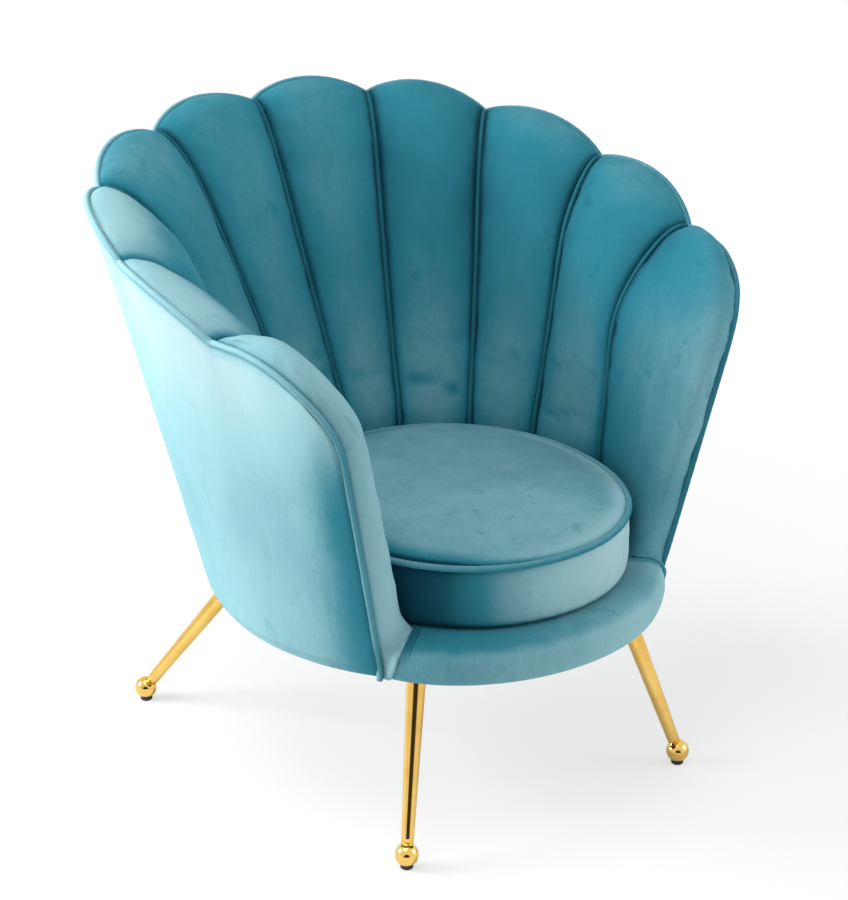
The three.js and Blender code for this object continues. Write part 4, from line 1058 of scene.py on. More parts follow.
class CHAIR_OT_padding(Operator):
    """Shape the channels and wings round the inside of the shell"""

    bl_idname = "chair.padding"
    bl_label = "Channel padding"

    def execute(self, context):
        lines = [seam_line(seam) for seam in range(CHANNELS + 1)]
        for channel in range(CHANNELS):
            self.channel(channel, lines[channel], lines[channel + 1])
        self.wing(lines[CHANNELS])
        return {"FINISHED"}

    def channel(self, channel, near, far):
        front, run, distance = channel_front(channel, near, far)
        back = pad_back(front, channel_edge(channel, CHANNEL_SHARES)[:, 2][None])
        for side in SIDES:
            shaped, creased = sewn_details(sided(front, side), run, distance)
            nap_and_painted_light = painted_light_of_channel(channel, shaped, run, distance, creased)
            place = f"{side}_{channel + 1}"
            velvet_pad(f"channel_{place}", f"channel_pad_{place}", shaped, sided(back, side), nap_and_painted_light)

    def wing(self, line):
        front, body_rows = wing_front(line)
        back = wing_back(front, body_rows)
        for side in SIDES:
            shaped, from_edge, from_seam = wing_details(sided(front, side), body_rows)
            nap_and_painted_light = painted_light_of_wing(shaped, from_edge, from_seam)
            velvet_pad(f"wing_{side}", f"wing_pad_{side}", shaped, sided(back, side), nap_and_painted_light)


# Piping

PIPING_STEP = 0.004
PIPING_SIDES = 14
PIPING_GATHER = 0.011
RIM_STEPS = 60
# Share of the way from a seam's first ring into the rim piping that its own piping starts at
START_SHARE = 0.75


def even_line(line):
    """The line at even steps"""
    run = along(line)
    return smooth(run, line, np.linspace(0, run[-1], max(2, int(run[-1] / PIPING_STEP))))


class CHAIR_OT_piping(Operator):
    """Lay the piping in the seams, round the rim and round the cushion"""

    bl_idname = "chair.piping"
    bl_label = "Piping"

    def execute(self, context):
        for seam in range(CHANNELS + 1):
            line = seam_middle(seam)
            line = even_line(np.vstack([lerp(line[0], SEAM_ENDS[seam], START_SHARE)[None], line]))
            for side, node in zip(SIDES, seam_nodes(seam)):
                self.lay(node, line, piping().channel, 30 + seam, (0.24, 0.10, 0), side=side)
        half = np.concatenate([*channel_edges(RIM_STEPS), even_line(EDGE[WING_START - 1:])])
        rim = np.concatenate([mirrored(half[:0:-1]), half])
        self.lay("rim_welt", rim, piping().rim, 50, (0.56, 0.26, -0.16))
        line = cushion_ring(piping().cushion)
        self.lay("cushion_welt", line, piping().cushion, 60, (0.54, 0.20, 0), loop=True, body="cushion")
        return {"FINISHED"}

    def lay(self, node, line, radius, seed, nap_and_painted_light, side="left", loop=False, body="shell"):
        """Piping for a node, drawn up into faint rings; three numbers give its pile at rest, its painted
        highlight towards the light and its painted light and shade across from side to side
        """
        squeeze = 1 + 0.022 * gathers(along(line), PIPING_GATHER, 2 * waves(line, 0.05, seed))
        squeeze += 0.018 * waves(line, 0.02, seed + 1)
        points, faces = tube(line, radius, PIPING_SIDES, loop=loop, squeeze=squeeze)
        # Painted highlight on the side of the tube that faces the light, and painted light and shade from one
        # side of the chair to the other
        lit = unit(points - np.repeat(line, PIPING_SIDES, axis=0)) @ LIGHT_WAY
        rest, towards, across = nap_and_painted_light
        nap_and_painted_light = rest + towards * lit + across * points[:, 0] / CAD_BOX[1][0]
        name = node.replace("channel_welt", "seam_piping").replace("_welt", "_piping")
        add_piece(name, (sided(points, side), faces), "velvet_piping_cord", [node], body=body, nap_and_painted_light=nap_and_painted_light)


# Seat cushion

CUSHION_STEPS = 220
CUSHION_FULLNESS = 2.1
CUSHION_AHEAD = -0.021
CUSHION_MIDDLE = CENTRE_Y + CUSHION_AHEAD
CUSHION_SEAM = (CUSHION_LOW.z + CUSHION_HIGH.z) / 2


def cushion_outline(turns, inset):
    """Plan outline of the cushion, drawn in by inset"""
    side, ahead = np.sin(turns), np.cos(turns)
    swell = (np.abs(side) ** CUSHION_FULLNESS + np.abs(ahead) ** CUSHION_FULLNESS) ** (-1 / CUSHION_FULLNESS)
    depth = np.where(ahead > 0, CUSHION_HIGH.y - CUSHION_MIDDLE, CUSHION_MIDDLE - CUSHION_LOW.y) - inset
    return (CUSHION_HIGH.x - inset) * side * swell, depth * ahead * swell + CUSHION_MIDDLE


def cushion_ring(inset, height=CUSHION_SEAM):
    x, y = cushion_outline(np.arange(CUSHION_STEPS) * 2 * math.pi / CUSHION_STEPS, inset)
    return np.stack([x, y, np.full(CUSHION_STEPS, height)], axis=-1)


# Insets of the cushion's section under it, then insets with rises: turn of the foot, groove at the piping
# and start of the crown, which reaches in from there
UNDER_INSETS = (0.200, 0.150, 0.100, 0.060, 0.034)
BOXING_FOOT = ((0.0100, 0.0012), (0.0046, 0.0048), (0.0034, 0.012))
BOXING_INSET = 0.0060
GROOVE = ((0.0066, 0), (0.0078, 0.0035))
CROWN_START = (0.0090, 0.0040)
CROWN_REACH = 0.1885


def cushion_section():
    """Inset from the outline and height, from under the cushion out, up the boxing and over the crown"""
    foot = DECK_TOP + DECK_GAP
    swell, crown = sizes().boxing_swell, sizes().cushion_crown
    height = CUSHION_SEAM - foot
    inset, lip = CROWN_START
    under = [(place, foot) for place in UNDER_INSETS]
    turn = [(place, foot + rise) for place, rise in BOXING_FOOT]
    boxing = [(BOXING_INSET - swell * math.sin(math.pi * share), foot + height * share)
              for share in np.linspace(0.3, 0.9, 7)]
    groove = [(place, CUSHION_SEAM + rise) for place, rise in GROOVE]
    top = [(inset + CROWN_REACH * share ** 1.5, CUSHION_SEAM + lip + (crown - lip) * (1 - (1 - share) ** 2.6))
           for share in np.linspace(0.05, 1, 26)]
    return np.array(under + turn + boxing + groove + top)


def inside_outline(points):
    """How far points lie inside the cushion's outline, in plan"""
    x = points[..., 0] / CUSHION_HIGH.x
    y = points[..., 1] - CUSHION_MIDDLE
    depth = np.where(y > 0, CUSHION_HIGH.y - CUSHION_MIDDLE, CUSHION_MIDDLE - CUSHION_LOW.y)
    share = (np.abs(x) ** CUSHION_FULLNESS + np.abs(y / depth) ** CUSHION_FULLNESS) ** (1 / CUSHION_FULLNESS)
    reach = np.hypot(points[..., 0], y)
    return reach / np.maximum(share, 1e-6) - reach


def held_places(points):
    """1 where the cushion's cover is sewn into its piping or lies on the deck"""
    inset = inside_outline(points)
    sewn = bump(np.abs(points[:, 2] - CUSHION_SEAM), 0.005) * (inset < 0.014)
    resting = (points[:, 2] < DECK_TOP + 0.0035) * (inset > 0.012)
    return np.clip(np.maximum(sewn * 1.6, resting), 0, 1)


# Size of the even faces, furthest that a point may move and frames that the air has for it
VOXEL = 0.0055
STUFFING_CAP = 0.009
CLOTH_FRAMES = 20
CLOTH = {
    "quality": 6,
    "mass": 0.3,
    "tension_stiffness": 12,
    "compression_stiffness": 12,
    "shear_stiffness": 4,
    "bending_stiffness": 0.4,
    "use_pressure": True,
    "uniform_pressure_force": 4.0,
    "vertex_group_mass": "held",
}


def vertex_places(mesh):
    places = np.empty(len(mesh.vertices) * 3)
    mesh.vertices.foreach_get("co", places)
    return places.reshape(-1, 3)


def as_modified(cover):
    return cover.evaluated_get(bpy.context.evaluated_depsgraph_get())


def stuffed(points, faces):
    """Points and faces of the cushion's cover, blown up with air pressure while its sewn places are held"""
    cover = linked("cushion_cover", mesh_of("cushion_cover", points, faces))
    even = cover.modifiers.new("even_faces", "REMESH")
    even.mode = "VOXEL"
    even.voxel_size = VOXEL
    evened = bpy.data.meshes.new_from_object(as_modified(cover))
    cover.modifiers.clear()
    cover.data = evened
    before = vertex_places(evened)
    weights = held_places(before)
    group = cover.vertex_groups.new(name="held")
    for index in np.nonzero(weights > 0.01)[0]:
        group.add([int(index)], float(weights[index]), "REPLACE")
    cloth = cover.modifiers.new("stuffing", "CLOTH")
    for key, value in CLOTH.items():
        setattr(cloth.settings, key, value)
    cloth.settings.effector_weights.gravity = 0
    for step in range(1, CLOTH_FRAMES + 1):
        bpy.context.scene.frame_set(step)
    move = vertex_places(as_modified(cover).data) - before
    bpy.context.scene.frame_set(1)
    far = np.linalg.norm(move, axis=-1, keepdims=True)
    after = before + move * np.minimum(1, STUFFING_CAP / np.maximum(far, 1e-9))
    cover.modifiers.clear()
    evened.vertices.foreach_set("co", after.ravel())
    cover.modifiers.new("rounder", "SUBSURF").levels = 1
    rounder = as_modified(cover).to_mesh()
    after = vertex_places(rounder)
    polygons = [tuple(polygon.vertices) for polygon in rounder.polygons]
    bpy.data.objects.remove(cover)
    return after, polygons


SECTION_RINGS = 110
# Deck's smallest ring, the insets and rises of its lower edge, and the insets and drops of its upper one
DECK_MIDDLE = 0.001
DECK_FOOT = ((0.004, 0), (0.001, 0.003), (0, 0.007))
DECK_LIP = ((0.001, 0.003), (0.004, 0.0006))
DECK_ROUND = 0.008
# Deck's rings of stitching, and the levels of the strip round it over the seat ring
STITCH_PITCH = 0.048
STITCH_DEPTH = 0.0012
STITCH_WIDTH = 0.003
STRIP_LEVELS = (0.0001, 0.0009)
STRIP_INSET = 0.02
STRIP_SHORT = 0.2


class CHAIR_OT_cushion(Operator):
    """Shape the boxed seat cushion and the padded deck under it"""

    bl_idname = "chair.cushion"
    bl_label = "Seat cushion"

    def execute(self, context):
        section = cushion_section()
        knots = along(section)
        rings = smooth(knots, section, np.linspace(0, knots[-1], SECTION_RINGS))
        points, faces = ringed([cushion_ring(inset, height) for inset, height in rings])
        points, faces = stuffed(points, faces)
        over = np.minimum(0, inside_outline(points) - 0.0012)[:, None]
        points = points + level_way(points, CUSHION_MIDDLE) * over
        inset = inside_outline(points)
        top = ease(CUSHION_SEAM + 0.001, CUSHION_SEAM + 0.012, points[:, 2])
        side = ease(DECK_TOP + 0.004, DECK_TOP + 0.02, points[:, 2]) * (1 - top) * ease(0.02, 0.009, inset)
        turn = np.arctan2(points[:, 0], points[:, 1] - CUSHION_MIDDLE)
        points = self.rumpled(points, inset, top, side, turn)
        cushion = add_piece("cushion", (points, faces), "teal_velvet", ["seat_cushion"], body="cushion",
                            nap_and_painted_light=self.nap_and_painted_light(points, inset, top, turn))
        self.deck()
        self.border()
        return {"FINISHED"}

    def rumpled(self, points, inset, top, side, turn):
        """Soft waves on the top and the side, and gathers inside the piping"""
        soft = waves(points * np.array([1, 1, 0.4]), 0.11, 71) * 0.0009 + waves(points, 0.05, 72) * 0.0004
        ripple = waves(points * np.array([1, 1, 0.5]), 0.07, 73) * 0.0006 + waves(points, 0.02, 74) * 0.0002
        gather = np.sin(turn * 118 + 2.5 * waves(points, 0.09, 75)) * bump(inset - 0.013, 0.007) * 0.0003
        points = points + level_way(points, CUSHION_MIDDLE) * (side * ripple)[:, None]
        points[:, 2] += top * (soft + gather)
        return points

    def nap_and_painted_light(self, points, inset, top, turn):
        """Painted light towards the lamp and on the top, painted shade by the wing's corner, beside the seam
        and down at the deck
        """
        from_seam = np.hypot(points[:, 2] - CUSHION_SEAM, np.maximum(0, inset - 0.009))
        # Painted light on the side towards the lamp and at the back, painted shadow by the corner of the wing
        # at -X
        painted_side_light = 0.60 * np.cos(turn - math.radians(LIGHT_SIDE))
        painted_side_light -= 0.34 * ease(-2.80, -2.38, turn) * ease(0, -1, turn)
        painted_side_light += 0.12 * bump(np.abs(turn) - math.pi, 0.42)
        # Painted light on the top and painted shade beside the piping seam
        nap_and_painted_light = 0.66 + 0.11 * top + painted_side_light * (1 - top) - 0.40 * bump(from_seam, 0.0055)
        # Painted shade where the cushion meets the deck
        return nap_and_painted_light - 0.30 * ease(0.298, 0.289, points[:, 2])

    def deck(self):
        """Padded deck with a rounded edge and a few rings of stitching"""
        radius, low, high = DECK_RADIUS, DECK_LOW.z, DECK_HIGH.z
        rings = [(DECK_MIDDLE, low)]
        rings += [(radius - inset, low + rise) for inset, rise in DECK_FOOT]
        rings += [(radius - inset, high - drop) for inset, drop in DECK_LIP]
        for out in np.linspace(radius - DECK_ROUND, DECK_MIDDLE, 60):
            stitch = bump(out % STITCH_PITCH - STITCH_PITCH / 2, STITCH_WIDTH)
            rings.append((out, high - STITCH_DEPTH * stitch))
        shape = ringed([plan(out, DISC_TURNS, height) for out, height in rings])
        deck = add_piece("padded_deck", shape, "teal_velvet", ["seat_deck"], nap_and_painted_light=0.4)

    def border(self):
        """Strip of the cover laid on the frame's ring, between the deck and the padding round it"""
        end = polar(EDGE[-1])[1] + RAIL_LAP - STRIP_SHORT
        angles = np.linspace(-end, end, 121)
        low, high = (RING_TOP + level for level in STRIP_LEVELS)
        near = DECK_RADIUS + DECK_GAP
        far = wall_radius(np.abs(angles), low) - STRIP_INSET
        corners = ((near, low), (far, low), (far, high), (near, high))
        rings = np.stack([plan(reach, angles, level) for reach, level in corners], axis=1)
        strip = add_piece("deck_border", ringed(rings), "teal_velvet", nap_and_painted_light=0.3)
        width = float((far - near).mean())
        area = float((far ** 2 - near ** 2).mean() * math.radians(end))


# Outside cover and front rail

def front_line(shares):
    """The edge's front run, from the turn of the corner down to the base"""
    points = EDGE[WING_START + 4:-1]
    height = points[:, 2]
    share = (height - height[-1]) / (height[0] - height[-1])
    return smooth(share[::-1], points[::-1], shares)


def cover_columns():
    """Points of the edge that the outside cover's columns hang from, to the turn of the corner"""
    corner = EDGE[WING_START - 1:WING_START + 5]
    run = along(corner)
    turned_edge = smooth(run, corner, np.linspace(0, run[-1], CORNER_COLUMNS))
    return np.concatenate([*channel_edges(COVER_STEPS), turned_edge])


COVER_STEPS = 24
CORNER_COLUMNS = 20
COVER_ROWS = 52
FOLD_ROWS = 8
FLAT_ROWS = 4
# How far the inner side of the folds lies above the outer one
FOLD_LIFT = 0.0033
RIM_GATHER = 0.013
# Degrees of the rail that have finer columns at each end, their step, and the columns between
RAIL_END = 11
RAIL_STEP = 0.16
RAIL_COLUMNS = 131
# Hidden back of the rail: inset from the chin, thickness half way up and at the top, drop below the deck
RAIL_HEM = 0.006
RAIL_THICKNESS = 0.024
RAIL_TOP_THICKNESS = 0.036
RAIL_BACK_DROP = 0.012
DUST_INSET = 0.002
DUST_SAG = 0.0012
DUST_THICKNESS = 0.0011
STAPLE_ANGLE = 9.0
STAPLE_INSET = 0.006
STAPLE_REACH = 0.005
STAPLE_RADIUS = 0.0005


def cover_loops():
    """Loops of the outside cover's left half: down its outer face, under the base and back up inside"""
    columns = cover_columns()
    frames = edge_frames(columns)
    top = round_edge(columns, HANG, frames)
    top_radius, top_angle, top_height = polar(top)
    share = np.linspace(1, 0, COVER_ROWS)[:, None]
    _, front_angle, front_height = polar(front_line(share[:, 0]))
    lean = (top_angle / front_angle[0]) ** 4
    angle = top_angle[None] + (front_angle[:, None] - front_angle[0]) * lean[None]
    height = lerp(front_height[-1], top_height[None], share)
    spare = top_radius - wall_radius(top_angle, top_height)
    reach = wall_radius(angle, height) + spare[None] * share ** 5
    foot_angle = angle[-1][None]
    rounding = covers().base_round
    under = covers().base_radius - covers().turn_under
    turn = np.radians(np.linspace(0, 90, FOLD_ROWS + 1))[1:, None]
    fold = base_radius(foot_angle) - rounding * (1 - np.cos(turn))
    flat = lerp(base_radius(foot_angle) - rounding, under, np.linspace(0, 1, FLAT_ROWS + 1)[1:, None])
    fold_height = np.broadcast_to(FLOOR_GAP + rounding * (1 - np.sin(turn)), fold.shape)
    fold_height = np.concatenate([fold_height, np.full(flat.shape, FLOOR_GAP)])
    angle = np.concatenate([angle, np.broadcast_to(foot_angle, fold_height.shape)])
    outer = plan(np.concatenate([reach, fold, flat]), angle, np.concatenate([height, fold_height]))
    inner = plan(np.concatenate([reach - covers().thickness, fold - 0.002, flat]), angle,
                 np.concatenate([height, fold_height + FOLD_LIFT]))
    outer[0] = top
    inner[0] = round_edge(columns, INSIDE, frames)
    return np.concatenate([outer, inner[::-1]]).swapaxes(0, 1), top_height


def rail_section(angle):
    """Closed section of the front rail at a plan angle, with the depth of the pleats down its face"""
    low, high = FLOOR_GAP, DECK_TOP
    under = covers().base_radius - covers().turn_under
    face, pleats = pleated(rail_face(angle), min(angle, 2 * HALF_TURN - angle))
    far, chin = face[:, 0].max(), face[-1, 0]
    flat = [(lerp(chin, under, part), low) for part in (0.3, 0.65, 1)]
    lifted, top = low + FOLD_LIFT, high - RAIL_BACK_DROP
    back = [(under, lifted), (chin - RAIL_HEM, lifted), (far - RAIL_THICKNESS, (low + high) / 2),
            (far - RAIL_TOP_THICKNESS, top), (DECK_RADIUS + DECK_GAP, top)]
    return [*face, *flat, *back], pleats


class CHAIR_OT_outside(Operator):
    """Stretch the outside cover round the shell and pad the front rail"""

    bl_idname = "chair.outside"
    bl_label = "Outside cover and rail"

    def execute(self, context):
        self.cover()
        self.rail()
        self.dust_cover()
        return {"FINISHED"}

    def cover(self):
        """Outside cover, uneven where nothing holds it, with painted light high up and painted shade round
        the back, in front and under the rim piping
        """
        loops, top_height = cover_loops()
        loops = np.concatenate([mirrored(loops[:0:-1]), loops])
        _, angle, height = polar(loops)
        run = along(loops[:, :1])[:, None]
        below_rim = np.clip(np.concatenate([top_height[:0:-1], top_height])[:, None] - height, 0, 1)
        soft = waves(loops * np.array([1, 1, 0.6]), 0.22, 81) * 0.0011 + waves(loops, 0.07, 82) * 0.0003
        soft = soft * ease(0.24, 0.30, height) * ease(0.0, 0.03, below_rim)
        gather = gathers(run, RIM_GATHER, 2 * waves(loops, 0.05, 83)) * 0.0003 * bump(below_rim, 0.012)
        loops = loops + way_out(angle) * (soft + gather)[..., None]
        # Painted light high up the sides, painted shade just under the rim piping, round the back and beside
        # the front edges
        upper = ease(0.40, 0.68, height)
        nap_and_painted_light = 0.90 + 0.33 * upper - 0.35 * bump(below_rim, 0.007)
        nap_and_painted_light -= (0.20 + 0.24 * upper) * ease(70, 30, np.abs(angle))
        from_front = np.minimum(run, run[-1] - run)
        nap_and_painted_light -= 0.10 * bump(from_front, 0.16) + 0.38 * bump(from_front, 0.05) * ease(0.62, 0.48, height)
        panel = add_piece("outside_panel", ringed(loops), "teal_velvet", ["outside_cover"], nap_and_painted_light=nap_and_painted_light)

    def rail(self):
        """Padded rail between the wings: a rounded section carried round the front"""
        start = polar(EDGE[-1])[1] + RAIL_LAP
        end = np.arange(start, start + RAIL_END, RAIL_STEP)
        between = np.linspace(end[-1], 2 * HALF_TURN - end[-1], RAIL_COLUMNS)[1:-1]
        angles = np.concatenate([end, between, 2 * HALF_TURN - end[::-1]])
        sections, pleats = (np.array(part) for part in zip(*(rail_section(angle) for angle in angles)))
        reach = sections[..., 0]
        rail = plan(reach, angles[:, None], sections[..., 1])
        height = rail[..., 2]
        soft = waves(rail, 0.11, 91) * 0.0007 + waves(rail, 0.03, 92) * 0.0003
        soft = soft * ease(FLOOR_GAP + 0.003, FLOOR_GAP + 0.015, height) * ease(0.23, 0.262, reach)
        rail = rail + way_out(angles)[:, None] * soft[..., None]
        # A darker band along the sloping top edge, with a ragged lower border
        ragged = 0.0012 * waves(rail, 0.045, 93) + 0.0005 * waves(rail, 0.012, 94)
        nap_and_painted_light = 0.75 - 0.20 * ease(0.270, 0.283, height + ragged) * ease(0.20, 0.225, reach)
        # Painted light on the face towards the lamp's side and painted shade in the pleats
        nap_and_painted_light += 0.26 * np.cos(np.radians(angles[:, None] - LIGHT_SIDE))
        nap_and_painted_light[:, :pleats.shape[1]] -= PLEAT_PAINTED_SHADE * pleats
        piece = add_piece("front_rail", ringed(rail), "teal_velvet", ["front_rail_cover"], nap_and_painted_light=nap_and_painted_light)

    def dust_cover(self):
        """Black cloth under the seat, sagging a little, with its staples"""
        low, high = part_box("dust_cover")
        radius = high.x - DUST_INSET
        rings = np.linspace(DUST_INSET, radius, 26)
        sag = DUST_SAG * (1 - (rings / radius) ** 2)
        under = np.array([plan(out, DISC_TURNS, low.z - drop) for out, drop in zip(rings, sag)])
        over = under[::-1] + np.array([0, 0, DUST_THICKNESS])
        shape = ringed(np.concatenate([under, over]))
        cloth = add_piece("dust_cloth", shape, "dust_cloth_weave", ["dust_cover"])
        staples = []
        for turn in np.arange(0, 2 * HALF_TURN, STAPLE_ANGLE):
            middle = plan(radius - STAPLE_INSET, turn, low.z - CLEARANCE)
            reach = unit(way_out(turn + HALF_TURN / 2)) * STAPLE_REACH
            staples.append(tube(np.array([middle - reach, middle + reach]), STAPLE_RADIUS, sides=6))
        add_piece("dust_cloth_staples", joined(staples), "spring_steel")


# Legs

LEG_SIDES = 64
BALL_RADIUS = 0.0146
BALL_HEIGHT = 0.018
POLE_RADIUS = 0.00005
LEG_TOP_RADIUS = 0.0121
LEG_END_RADIUS = 0.0076
LEG_SUNK = 0.001
LEG_RINGS = 24
BALL_RINGS = 40
BALL_TOP = 57


def turned(section, foot, axis):
    """Rings of a turned piece, from the radius and the distance along the axis of each"""
    side = unit(np.cross(axis, [0, 0, 1.0]))
    front = np.cross(side, axis)
    turns = np.arange(LEG_SIDES) * 2 * math.pi / LEG_SIDES
    ring = side[None] * np.cos(turns)[:, None] + front[None] * np.sin(turns)[:, None]
    return np.array([foot + axis * run + ring * radius for radius, run in section])


# Frame nodes that keep their shape, by the start of their names
DRESSED = {
    "foot_glide": "glide_plastic",
    "leg_plate": "spring_steel",
    "seat_spring": "spring_steel",
    "seat_ring": "birch_plywood",
    "top_rail": "birch_plywood",
    "wing_post": "birch_plywood",
    "back_rib": "birch_plywood",
}
SCREW_SIDES = 16
SCREW_AHEAD = 0.0185
SCREW_ACROSS = 0.0155
# Radius and height of a screw head's rings, from the plate down and into its socket
SCREW = ((0.0034, 0.0002), (0.0034, -0.0006), (0.0024, -0.0015), (0.0012, -0.0018), (0.0011, -0.0011),
         (0.0001, -0.0011))


class CHAIR_OT_legs(Operator):
    """Turn the four splayed legs and their ball feet, and finish the plates and glides"""

    bl_idname = "chair.legs"
    bl_label = "Legs"

    def execute(self, context):
        for leg in LEGS:
            low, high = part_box(f"foot_glide_{leg}")
            ball = np.array([(low.x + high.x) / 2, (low.y + high.y) / 2, BALL_HEIGHT])
            axis = self.rod(leg, ball)
            self.ball(leg, ball, axis, high.z + CLEARANCE)
            self.screws(leg)
        for name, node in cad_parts.items():
            for start, finish in DRESSED.items():
                if name.startswith(start):
                    node.data.materials.clear()
                    node.data.materials.append(finish_of(finish))
        return {"FINISHED"}

    def rod(self, leg, ball):
        """Tapered rod from the ball foot to the plate, where it is cut level; gives the way of its axis"""
        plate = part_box(f"leg_plate_{leg}")[0].z - CLEARANCE
        places = np.array([vertex.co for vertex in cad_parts[f"leg_{leg}"].data.vertices])
        cut = places[np.abs(places[:, 2] - plate) < 0.0001]
        top = (cut.min(axis=0) + cut.max(axis=0)) / 2
        axis = unit(top - ball)
        span = np.linalg.norm(top - ball)
        seat = math.sqrt(BALL_RADIUS ** 2 - LEG_END_RADIUS ** 2)
        section = [(lerp(LEG_END_RADIUS, LEG_TOP_RADIUS, (run - seat) / (span - seat)), run)
                   for run in np.linspace(seat - LEG_SUNK, span, LEG_RINGS)]
        rings = turned(section, ball, axis)
        rings[-1] += axis * ((plate - rings[-1][:, 2:]) / axis[2])
        add_piece(f"gilt_leg_{leg}", ringed(rings), "gilt_plating", [f"leg_{leg}"])
        return axis

    def ball(self, leg, ball, axis, floor):
        """Ball foot, cut level where the glide goes in"""
        turns = np.radians(np.linspace(-90, BALL_TOP, BALL_RINGS))
        section = zip(np.maximum(BALL_RADIUS * np.cos(turns), POLE_RADIUS), BALL_RADIUS * np.sin(turns))
        rings = turned(section, ball, axis)
        rings[..., 2] = np.maximum(rings[..., 2], floor)
        add_piece(f"gilt_ball_{leg}", ringed(rings), "gilt_plating", [f"foot_ball_{leg}"])

    def screws(self, leg):
        """Four round screw heads in the leg's plate"""
        low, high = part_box(f"leg_plate_{leg}")
        middle = np.array([(low.x + high.x) / 2, (low.y + high.y) / 2, low.z])
        away = level_way(middle, CENTRE_Y)
        side = np.cross([0, 0, 1.0], away)
        turns = np.arange(SCREW_SIDES) * 2 * math.pi / SCREW_SIDES
        ring = np.stack([np.cos(turns), np.sin(turns), np.zeros(SCREW_SIDES)], axis=-1)
        heads = []
        for ahead in (-SCREW_AHEAD, SCREW_AHEAD):
            for across in (-SCREW_ACROSS, SCREW_ACROSS):
                place = middle + away * ahead + side * across
                heads.append(ringed([place + ring * radius + np.array([0, 0, drop])
                                     for radius, drop in SCREW]))
        add_piece(f"plate_screws_{leg}", joined(heads), "spring_steel")


# Studio

WHITE = (1, 1, 1, 1)
DARK = (0.05, 0.045, 0.04, 1)
AMBIENT = 0.46
FLOOR_REACH = 12.0
LAMP_AIM = 0.45
# Name, place, width and power
LAMPS = (
    ("key", (-2.4, 1.6, 1.5), 1.4, 112),
    ("fill", (2.6, -2.1, 1.5), 1.8, 42),
    ("top", (-0.9, -0.2, 2.8), 1.6, 30),
)


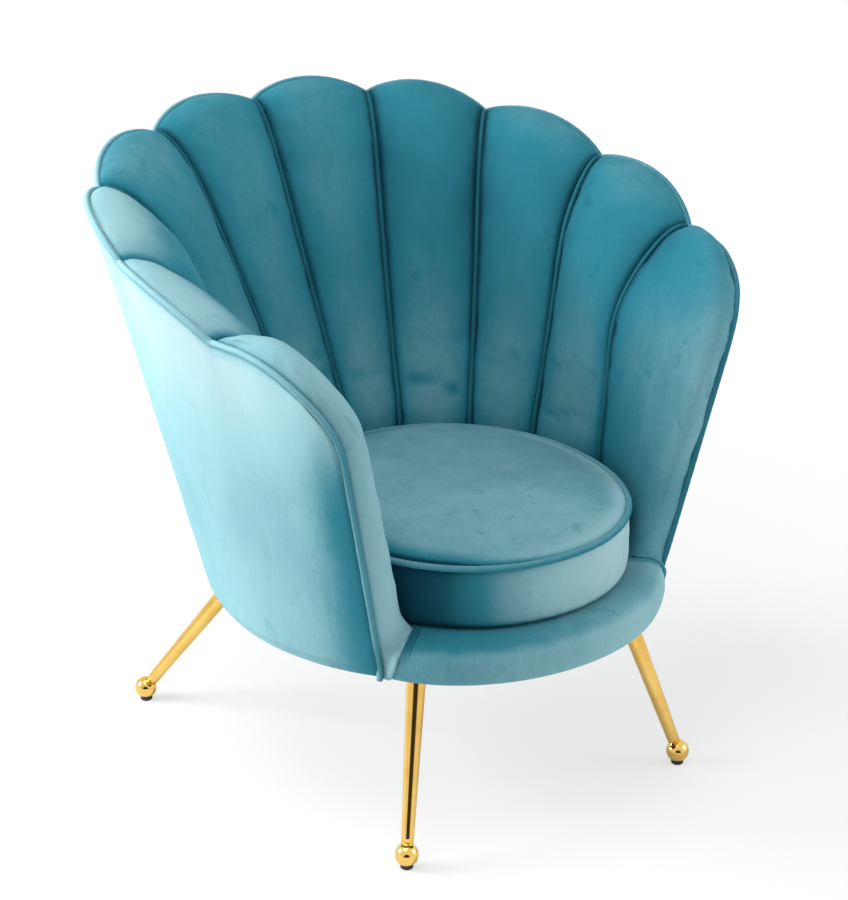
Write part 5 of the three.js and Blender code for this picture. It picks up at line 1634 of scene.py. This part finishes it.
class CHAIR_OT_studio(Operator):
    """Set the pale floor, the soft lamps and the camera"""

    bl_idname = "chair.studio"
    bl_label = "Studio"

    def execute(self, context):
        self.floor()
        self.world(context.scene)
        self.lamps()
        self.camera(context.scene)
        context.scene.view_settings.view_transform = "Standard"
        return {"FINISHED"}

    def floor(self):
        """White floor that keeps the chair's shadow near it and goes over into the white backdrop"""
        paint = Paint("studio_floor")
        distance = paint.node("ShaderNodeVectorMath", {0: paint.place()}, output=1, operation="LENGTH")
        matt = paint.node("ShaderNodeBsdfPrincipled", {
            "Base Color": (0.88, 0.88, 0.88, 1), "Roughness": 0.9, "Specular IOR Level": 0.1,
            "Normal": paint.bumped(paint.noise(30, detail=3), 0.0002, 0.2)})
        seen = paint.node("ShaderNodeLightPath", output=0)
        bright = 1 - (1 - seen * 0.6) * (1 - distance.clamped(0.55, 1.25))
        white = paint.node("ShaderNodeEmission", {"Color": WHITE, "Strength": 1.0})
        surface = paint.node("ShaderNodeMixShader", {0: bright, 1: matt, 2: white})
        paint.node("ShaderNodeOutputMaterial", {"Surface": surface})
        low, high = -FLOOR_REACH, FLOOR_REACH
        corners = [(low, low, 0), (high, low, 0), (high, high, 0), (low, high, 0)]
        floor = linked("studio_floor", mesh_of("studio_floor", corners, [(0, 1, 2, 3)]))
        floor.data.materials.append(paint.made)

    def world(self, scene):
        """Soft light all round; the camera sees white, mirror plating also the dark end of the studio"""
        paint = Paint("studio_world", world=True)
        seen = paint.node("ShaderNodeLightPath", output=0)
        glossy = paint.node("ShaderNodeLightPath", output=3)
        clear = paint.node("ShaderNodeLightPath", output=6)
        a = scene.chair_studio.azimuth
        looked = {0: paint.node("ShaderNodeTexCoord", output=0), 1: (math.sin(a), -math.cos(a), 0.0)}
        facing = paint.node("ShaderNodeVectorMath", looked, output=1, operation="DOT_PRODUCT")
        white, dark, ambient = (paint.node("ShaderNodeBackground", {"Color": shade, "Strength": strength})
                                for shade, strength in ((WHITE, 1.0), (DARK, 1.0), (WHITE, AMBIENT)))
        room = paint.node("ShaderNodeMixShader", {0: glossy * facing.clamped(0.80, 0.93), 1: white, 2: dark})
        direct = (seen + glossy + clear).clamped(0, 1)
        shown = paint.node("ShaderNodeMixShader", {0: direct, 1: ambient, 2: room})
        paint.node("ShaderNodeOutputWorld", {"Surface": shown})
        scene.world = paint.made

    def lamps(self):
        """A broad key from the camera's left, a fill from its right and a soft top"""
        aim = Vector((0, CENTRE_Y, LAMP_AIM))
        for name, place, size, power in LAMPS:
            data = bpy.data.lights.new(f"{name}_lamp", "AREA")
            data.size = size
            data.energy = power
            lamp = linked(data.name, data)
            lamp.location = place
            lamp.rotation_mode = "QUATERNION"
            lamp.rotation_quaternion = (aim - Vector(place)).to_track_quat("-Z", "Y")

    def camera(self, scene):
        studio = scene.chair_studio
        a, e = studio.azimuth, studio.elevation
        back = Vector((math.sin(a) * math.cos(e), -math.cos(a) * math.cos(e), math.sin(e)))
        right = Vector((math.cos(a), math.sin(a), 0))
        up = back.cross(right)
        data = bpy.data.cameras.new("studio_camera")
        data.lens = studio.lens
        data.sensor_width = 36
        camera = linked("studio_camera", data)
        turn = Matrix((right, up, back)).transposed().to_4x4()
        place = Vector((studio.across, studio.ahead + CENTRE_Y, studio.height))
        camera.matrix_world = Matrix.Translation(place) @ turn
        scene.camera = camera


OPERATORS = (
    CHAIR_OT_studio,
    CHAIR_OT_padding,
    CHAIR_OT_piping,
    CHAIR_OT_cushion,
    CHAIR_OT_outside,
    CHAIR_OT_legs,
)
GROUPS = {
    "chair_padding": PaddingSizes,
    "chair_piping": PipingSizes,
    "chair_covers": CoverSizes,
    "chair_velvet": VelvetLook,
    "chair_metal": MetalLook,
    "chair_studio": StudioSizes,
}


class CHAIR_PT_panel(Panel):
    """Sizes, colours and pieces of the chair"""

    bl_idname = "CHAIR_PT_panel"
    bl_label = "Scallop back chair"
    bl_space_type = "VIEW_3D"
    bl_region_type = "UI"
    bl_category = "Chair"

    def draw(self, context):
        for group, kind in GROUPS.items():
            box = self.layout.box()
            box.label(text=kind.__doc__)
            for name in kind.__annotations__:
                box.prop(getattr(context.scene, group), name)
        for operator in OPERATORS:
            self.layout.operator(operator.bl_idname)


def register():
    for kind in (*GROUPS.values(), *OPERATORS, CHAIR_PT_panel):
        bpy.utils.register_class(kind)
    for name, kind in GROUPS.items():
        setattr(bpy.types.Scene, name, PointerProperty(type=kind))


def unregister():
    for name in GROUPS:
        delattr(bpy.types.Scene, name)
    for kind in reversed((*GROUPS.values(), *OPERATORS, CHAIR_PT_panel)):
        bpy.utils.unregister_class(kind)


def main():
    register()
    for operator in OPERATORS:
        group, name = operator.bl_idname.split(".")
        getattr(getattr(bpy.ops, group), name)()


if __name__ == "__main__":
    main()
